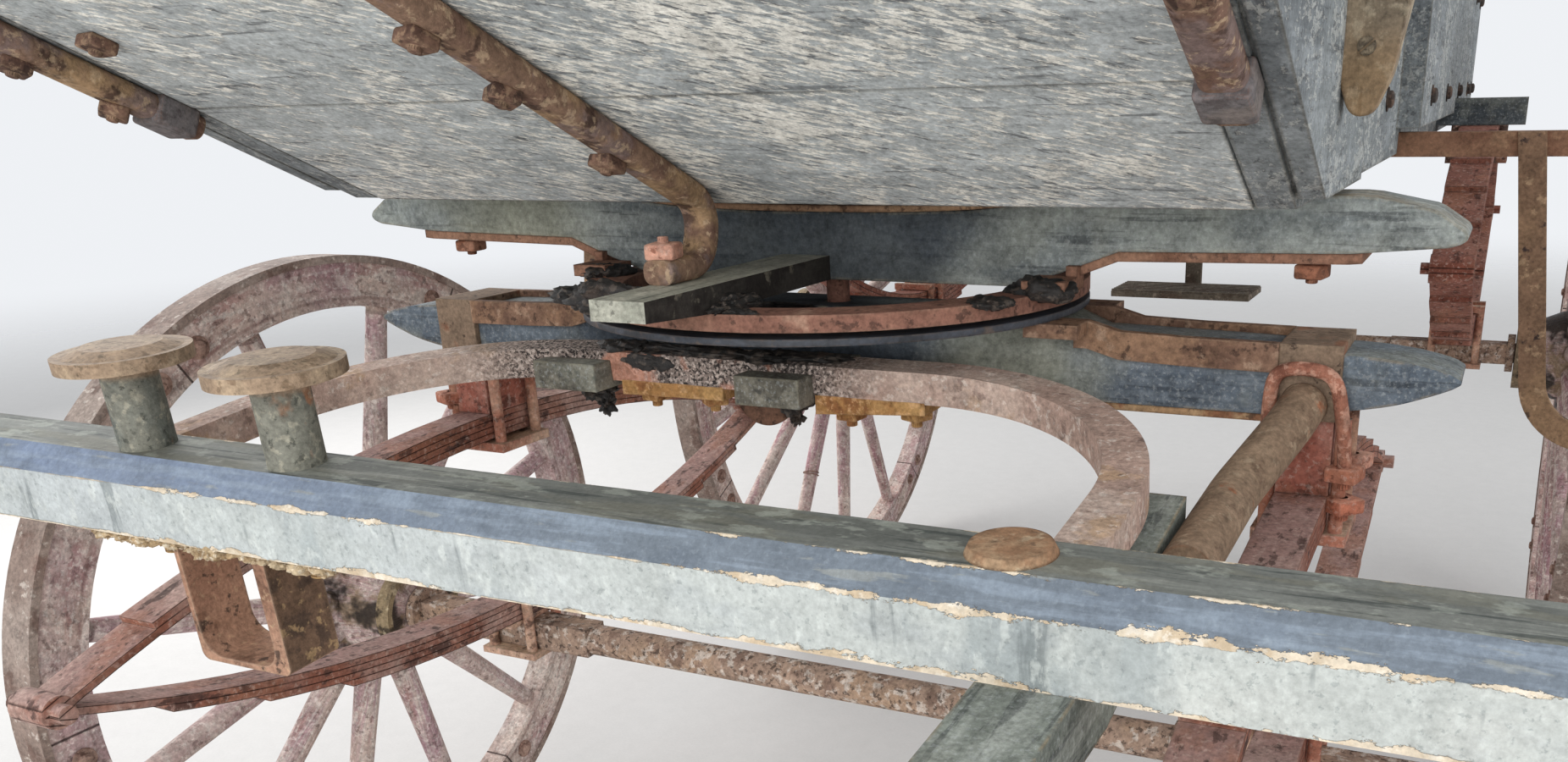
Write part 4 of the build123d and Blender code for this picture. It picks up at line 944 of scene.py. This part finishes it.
# Footboard: two planks of pine that slope down to the upper bed, in grey-blue paint weathered
# to dense white flecks. The stays under it are rounded iron bars.
TILT = radians(25.3)
# The planks' colours are set paler than the other boards' partly as painted light, for window light on
# planks that face down and forward.
dress(boards("footboard planks", "x", "969b9c", "b2b7b7", "c8cdcd", "ebe8de", 0.9, sin(TILT)),
      "footboard")
dress(forged("stays", "846a58", [
    (6, 0.45, 0.57, 0.85, "6a5045"), (12, 0.5, 0.61, 0.8, "a38766"),
    (18, 0.54, 0.63, 0.7, "7c6c69"), (34, 0.44, 0.37, 0.8, "46342d"),
    (110, 0.54, 0.62, 0.6, "b9a184")], 0.0020), "footboard_stays")


# Stay nuts: hammered square nuts on the bolts that hold the stays to the planks, one on the
# hook's foot, and a flat iron block on the end of each outer stay.
FOOT_Y, FOOT_Z = -0.161, 0.952
STAY_T = 0.0213
STAY_NUTS = [
    # x, y, how far below the planks, turn
    (-0.036, -0.462, STAY_T, 0.2), (-0.036, -0.392, STAY_T, 0.5), (-0.036, -0.288, STAY_T, 0.1),
    (-0.437, -0.455, STAY_T, 0.3), (-0.437, -0.385, STAY_T, 0.6), (0.437, -0.470, STAY_T, 0.2),
    (-0.365, -0.437, 0, 0.1)]


def under_planks(x, y, below, turn=0.0):
    """A place square to the underside of the planks, measured from the king bolt."""
    return at(x, y, FOOT_Z - (y - FOOT_Y) * tan(TILT) - below, pi - TILT, turn)


square_nut(size=0.021, height=0.010, bolt_r=0.0045, bolt_out=0.003)
piece_of("stay_nuts", forged("stay nuts", "5d463c", [
    (40, 0.45, 0.58, 0.8, "7c6050"), (90, 0.5, 0.6, 0.8, "3a2c27"),
    (150, 0.52, 0.6, 0.5, "a58a70")]),
    [under_planks(*row) for row in STAY_NUTS], "wagon")
square_nut(size=0.025, height=0.013, bolt_r=0.0045, bolt_out=0.005)
piece_of("hook_nut", salmon, [at(-0.032, -0.234, 0.9100, 0, 0.25)], "wagon")
block((0.033, 0.036, 0.025))
edit_all(bpy.ops.mesh.bevel, offset=0.0035, segments=3)
piece_of("stay_end_blocks", forged("stay end blocks", "6c6767", [
    (30, 0.45, 0.58, 0.8, "7d746f"), (60, 0.52, 0.6, 0.7, "514a49"),
    (20, 0.6, 0.64, 0.7, "8f5a3e")]),
    [under_planks(side * 0.432, -0.346, 0.0118) for side in (-1, 1)], "wagon")


# Body: sides, front board and tailboard of the same pine, with the seat board laid across.
# Two forged hinges and straps, rusted brown, carry the tailboard.
dress(boards("side boards", "y", "6a6f72", "7f8485", "969b9d", share=0.34), "side_l", "side_r")
dress(boards("cross boards", "x", "6c7174", "808586", "989d9e", share=0.34), "front_board", "seat",
      "tailboard")
dress(forged("body straps", "5a4436", [
    (8, 0.46, 0.6, 0.8, "7a5a45"), (40, 0.56, 0.64, 0.7, "9a7a60"),
    (90, 0.42, 0.35, 0.7, "2f2722")]), "tail_hinges", "tail_straps")


# Wings: a shaped board stands out from each front corner, up to the rail, with a rounded foot.
# It is bare wood browned with age, sawn from one plank and held by two slotted screws.
WING_Y = -0.140
WING_T = 0.022
WING = [
    # out from the middle, height, whether the corner is sharp
    (0.466, 1.060, True), (0.4675, 1.026, False), (0.480, 1.0095, False), (0.4930, 1.026, False),
    (0.5010, 1.060, False), (0.5110, 1.130, False), (0.5150, 1.210, False), (0.5060, 1.290, False),
    (0.485, 1.351, True), (0.466, 1.351, True)]
plank = bpy.data.curves.new("wing", "CURVE")
plank.dimensions = "2D"
plank.fill_mode = "BOTH"
plank.extrude = WING_T / 2
plank.bevel_depth = 0.0012
outline = plank.splines.new("BEZIER")
outline.bezier_points.add(len(WING) - 1)
for point, (out, height, sharp) in zip(outline.bezier_points, WING):
    point.co = (out, height, 0)
    point.handle_left_type = point.handle_right_type = "VECTOR" if sharp else "AUTO"
outline.use_cyclic_u = True
outline.resolution_u = 8
new_piece("wing", plank)
bpy.ops.object.convert(target="MESH")
f = Finish("browned wing board")
colour = f.coats("7c6f5e", [
    (5, (12, 12, 1), 0.44, 0.6, 0.7, "93836d"), (12, (12, 12, 1), 0.45, 0.38, 0.7, "574c40"),
    (70, 0.52, 0.62, 0.5, "b3a68f")])
stain = f.z.rise(1.075, 1.035) * f.cloud(24, 4).rise(0.4, 0.55)
colour = f.tint(stain * 0.40, colour, "97744a")
colour = f.tint(f.edges(0.003) * 0.5, colour, "5a4c3e")
wing_wood = f.done(colour, 0.8, f.cloud(9, 5, 0.65, (12, 12, 1)), 0.0010)
middle = Matrix.Translation((0, WING_Y + WING_T / 2 + KING_Y, 0))
piece_of("corner_wings", wing_wood, [
    middle @ Matrix.Rotation(half_turn, 4, "Z") @ Matrix.Rotation(pi / 2, 4, "X")
    for half_turn in (0, pi)], "wagon")

slot = block((0.02, 0.0014, 0.003), (0, 0, 0.002))
bpy.ops.mesh.primitive_cylinder_add(vertices=24, radius=0.0062, depth=0.004)
cut_by(slot)
piece_of("wing_screws", forged("dull screws", "6d6151", [
    (80, 0.45, 0.58, 0.8, "8d7f69"), (200, 0.5, 0.58, 0.7, "3e362d")], 0.0004, 0.55),
    [at(side * 0.4805, WING_Y - 0.0005, z, pi / 2, 0.7) for side in (-1, 1)
     for z in (1.053, 1.300)], "wagon")


# Side bolts: iron bolts with domed heads on washers, in rows along the sides and down the
# tailboard, driven through the boards where they meet the battens and straps.
SIDE_BOLTS = [
    # behind the king bolt, out from the middle
    (0.10, 0.445), (0.42, 0.445), (0.70, 0.471), (1.02, 0.471), (1.34, 0.471), (1.66, 0.471),
    (1.82, 0.471)]
TAIL_FACE = 1.893
side_iron = forged("side bolts", "4a4440", [
    (60, 0.45, 0.58, 0.8, "6b5548"), (150, 0.5, 0.58, 0.7, "2c2725")])
round_head(radius=0.009, height=0.006, washer=0.0125, washer_t=0.0015)
piece_of("side_bolts", side_iron, [
    Matrix.Translation((side * out, y + KING_Y, z)) @ Matrix.Rotation(side * pi / 2, 4, "Y")
    for side in (-1, 1) for y, out in SIDE_BOLTS for z in (1.012, 1.170, 1.325)], "wagon")
round_head(radius=0.008, height=0.005, washer=0.011, washer_t=0.0012)
piece_of("tail_bolts", side_iron, [
    at(x, TAIL_FACE, z, -pi / 2) for x in (-0.26, 0.26) for z in (1.060, 1.125, 1.180)],
    "tailgate")


# Steps: an iron bar across under the sills with a loop hanging at each end, and a ribbed tread
# on a hanger at the rear axle.
dress(forged("step iron", "7a604c", [
    (8, 0.46, 0.6, 0.8, "8f7358"), (40, 0.4, 0.33, 0.9, "33292a"),
    (60, 0.56, 0.64, 0.7, "a98d70")], 0.0018), "side_steps")
dress(forged("step bar", "84634e", [
    (7, 0.46, 0.6, 0.8, "6a4a3b"), (30, 0.56, 0.66, 0.7, "9d7d62")]), "step_bar")
dress(forged("tread", "6b6256", [
    (20, 0.46, 0.6, 0.8, "57493f"), (60, 0.56, 0.64, 0.7, "97897a")]), "rear_step")


# Floor, light and camera: a pale floor that fades into white, soft light from all round, and
# the camera where the photo was taken from.
bpy.ops.mesh.primitive_circle_add(vertices=96, radius=9, fill_type="NGON")
ground = bpy.context.object
ground.name = "ground"
f = Finish("pale floor")
away = (f.x * f.x + f.y * f.y) ** 0.5
colour = f.tint(f.cloud(1.3, 3), "c6c4c1", "cecbc8")
f.feed(f.shader.inputs["Alpha"], away.rise(8.6, 3.4))
ground.data.materials.append(f.done(colour, 0.6, dirt=0.1))

world = bpy.data.worlds.new("studio")
bpy.context.scene.world = world
world.use_nodes = True
air = world.node_tree
path = air.nodes.new("ShaderNodeLightPath")
seen = path.outputs["Is Camera Ray"]
for ray in ("Is Glossy Ray", "Is Transmission Ray"):
    either = air.nodes.new("ShaderNodeMath")
    either.operation = "MAXIMUM"
    air.links.new(seen, either.inputs[0])
    air.links.new(path.outputs[ray], either.inputs[1])
    seen = either.outputs[0]
white = air.nodes.new("ShaderNodeBackground")
white.inputs["Color"].default_value = (0.86, 0.88, 0.91, 1)
soft = air.nodes["Background"]
soft.inputs["Color"].default_value = (0.93, 0.96, 1.0, 1)
soft.inputs["Strength"].default_value = 0.80
blend = air.nodes.new("ShaderNodeMixShader")
air.links.new(seen, blend.inputs[0])
air.links.new(soft.outputs[0], blend.inputs[1])
air.links.new(white.outputs[0], blend.inputs[2])
air.links.new(blend.outputs[0], air.nodes["World Output"].inputs["Surface"])

LAMPS = [
    # name, place, aimed at, size, power
    ("window left", (-3.0, 0.4, 2.4), (0, 0.0, 0.6), 2.6, 96),
    ("window front", (0.2, -3.6, 1.5), (0, -0.6, 0.8), 2.4, 52),
    ("door right", (3.2, -0.2, 1.8), (0, 0, 0.7), 2.0, 34),
]
for name, place, aim, size, power in LAMPS:
    lamp = bpy.data.lights.new(name, "AREA")
    lamp.size = size
    lamp.energy = power
    way = (Vector(aim) - Vector(place)).to_track_quat("-Z", "Y")
    stand = new_piece(name, lamp)
    stand.matrix_world = Matrix.Translation(place) @ way.to_matrix().to_4x4()

PHOTO_W = 1851
FOCAL_PX = 1513.449
CENTRE_RIGHT_PX = 149.342
CENTRE_DOWN_PX = 200.674
CAMERA = (0.58491, -1.76067, 1.03110)
YAW, PITCH, ROLL = 25.065, 19.676, 1.489
lens = bpy.data.cameras.new("camera")
lens.sensor_width = 36
lens.lens = FOCAL_PX / PHOTO_W * lens.sensor_width
lens.shift_x = -CENTRE_RIGHT_PX / PHOTO_W
lens.shift_y = CENTRE_DOWN_PX / PHOTO_W
lens.clip_start = 0.05
camera = new_piece("camera", lens)
camera.matrix_world = (
    Matrix.Translation(CAMERA)
    @ Matrix.Rotation(radians(YAW), 4, "Z")
    @ Matrix.Rotation(pi / 2 - radians(PITCH), 4, "X")
    @ Matrix.Rotation(-radians(ROLL), 4, "Z"))
bpy.context.scene.camera = camera
bpy.context.scene.view_settings.view_transform = "Standard"
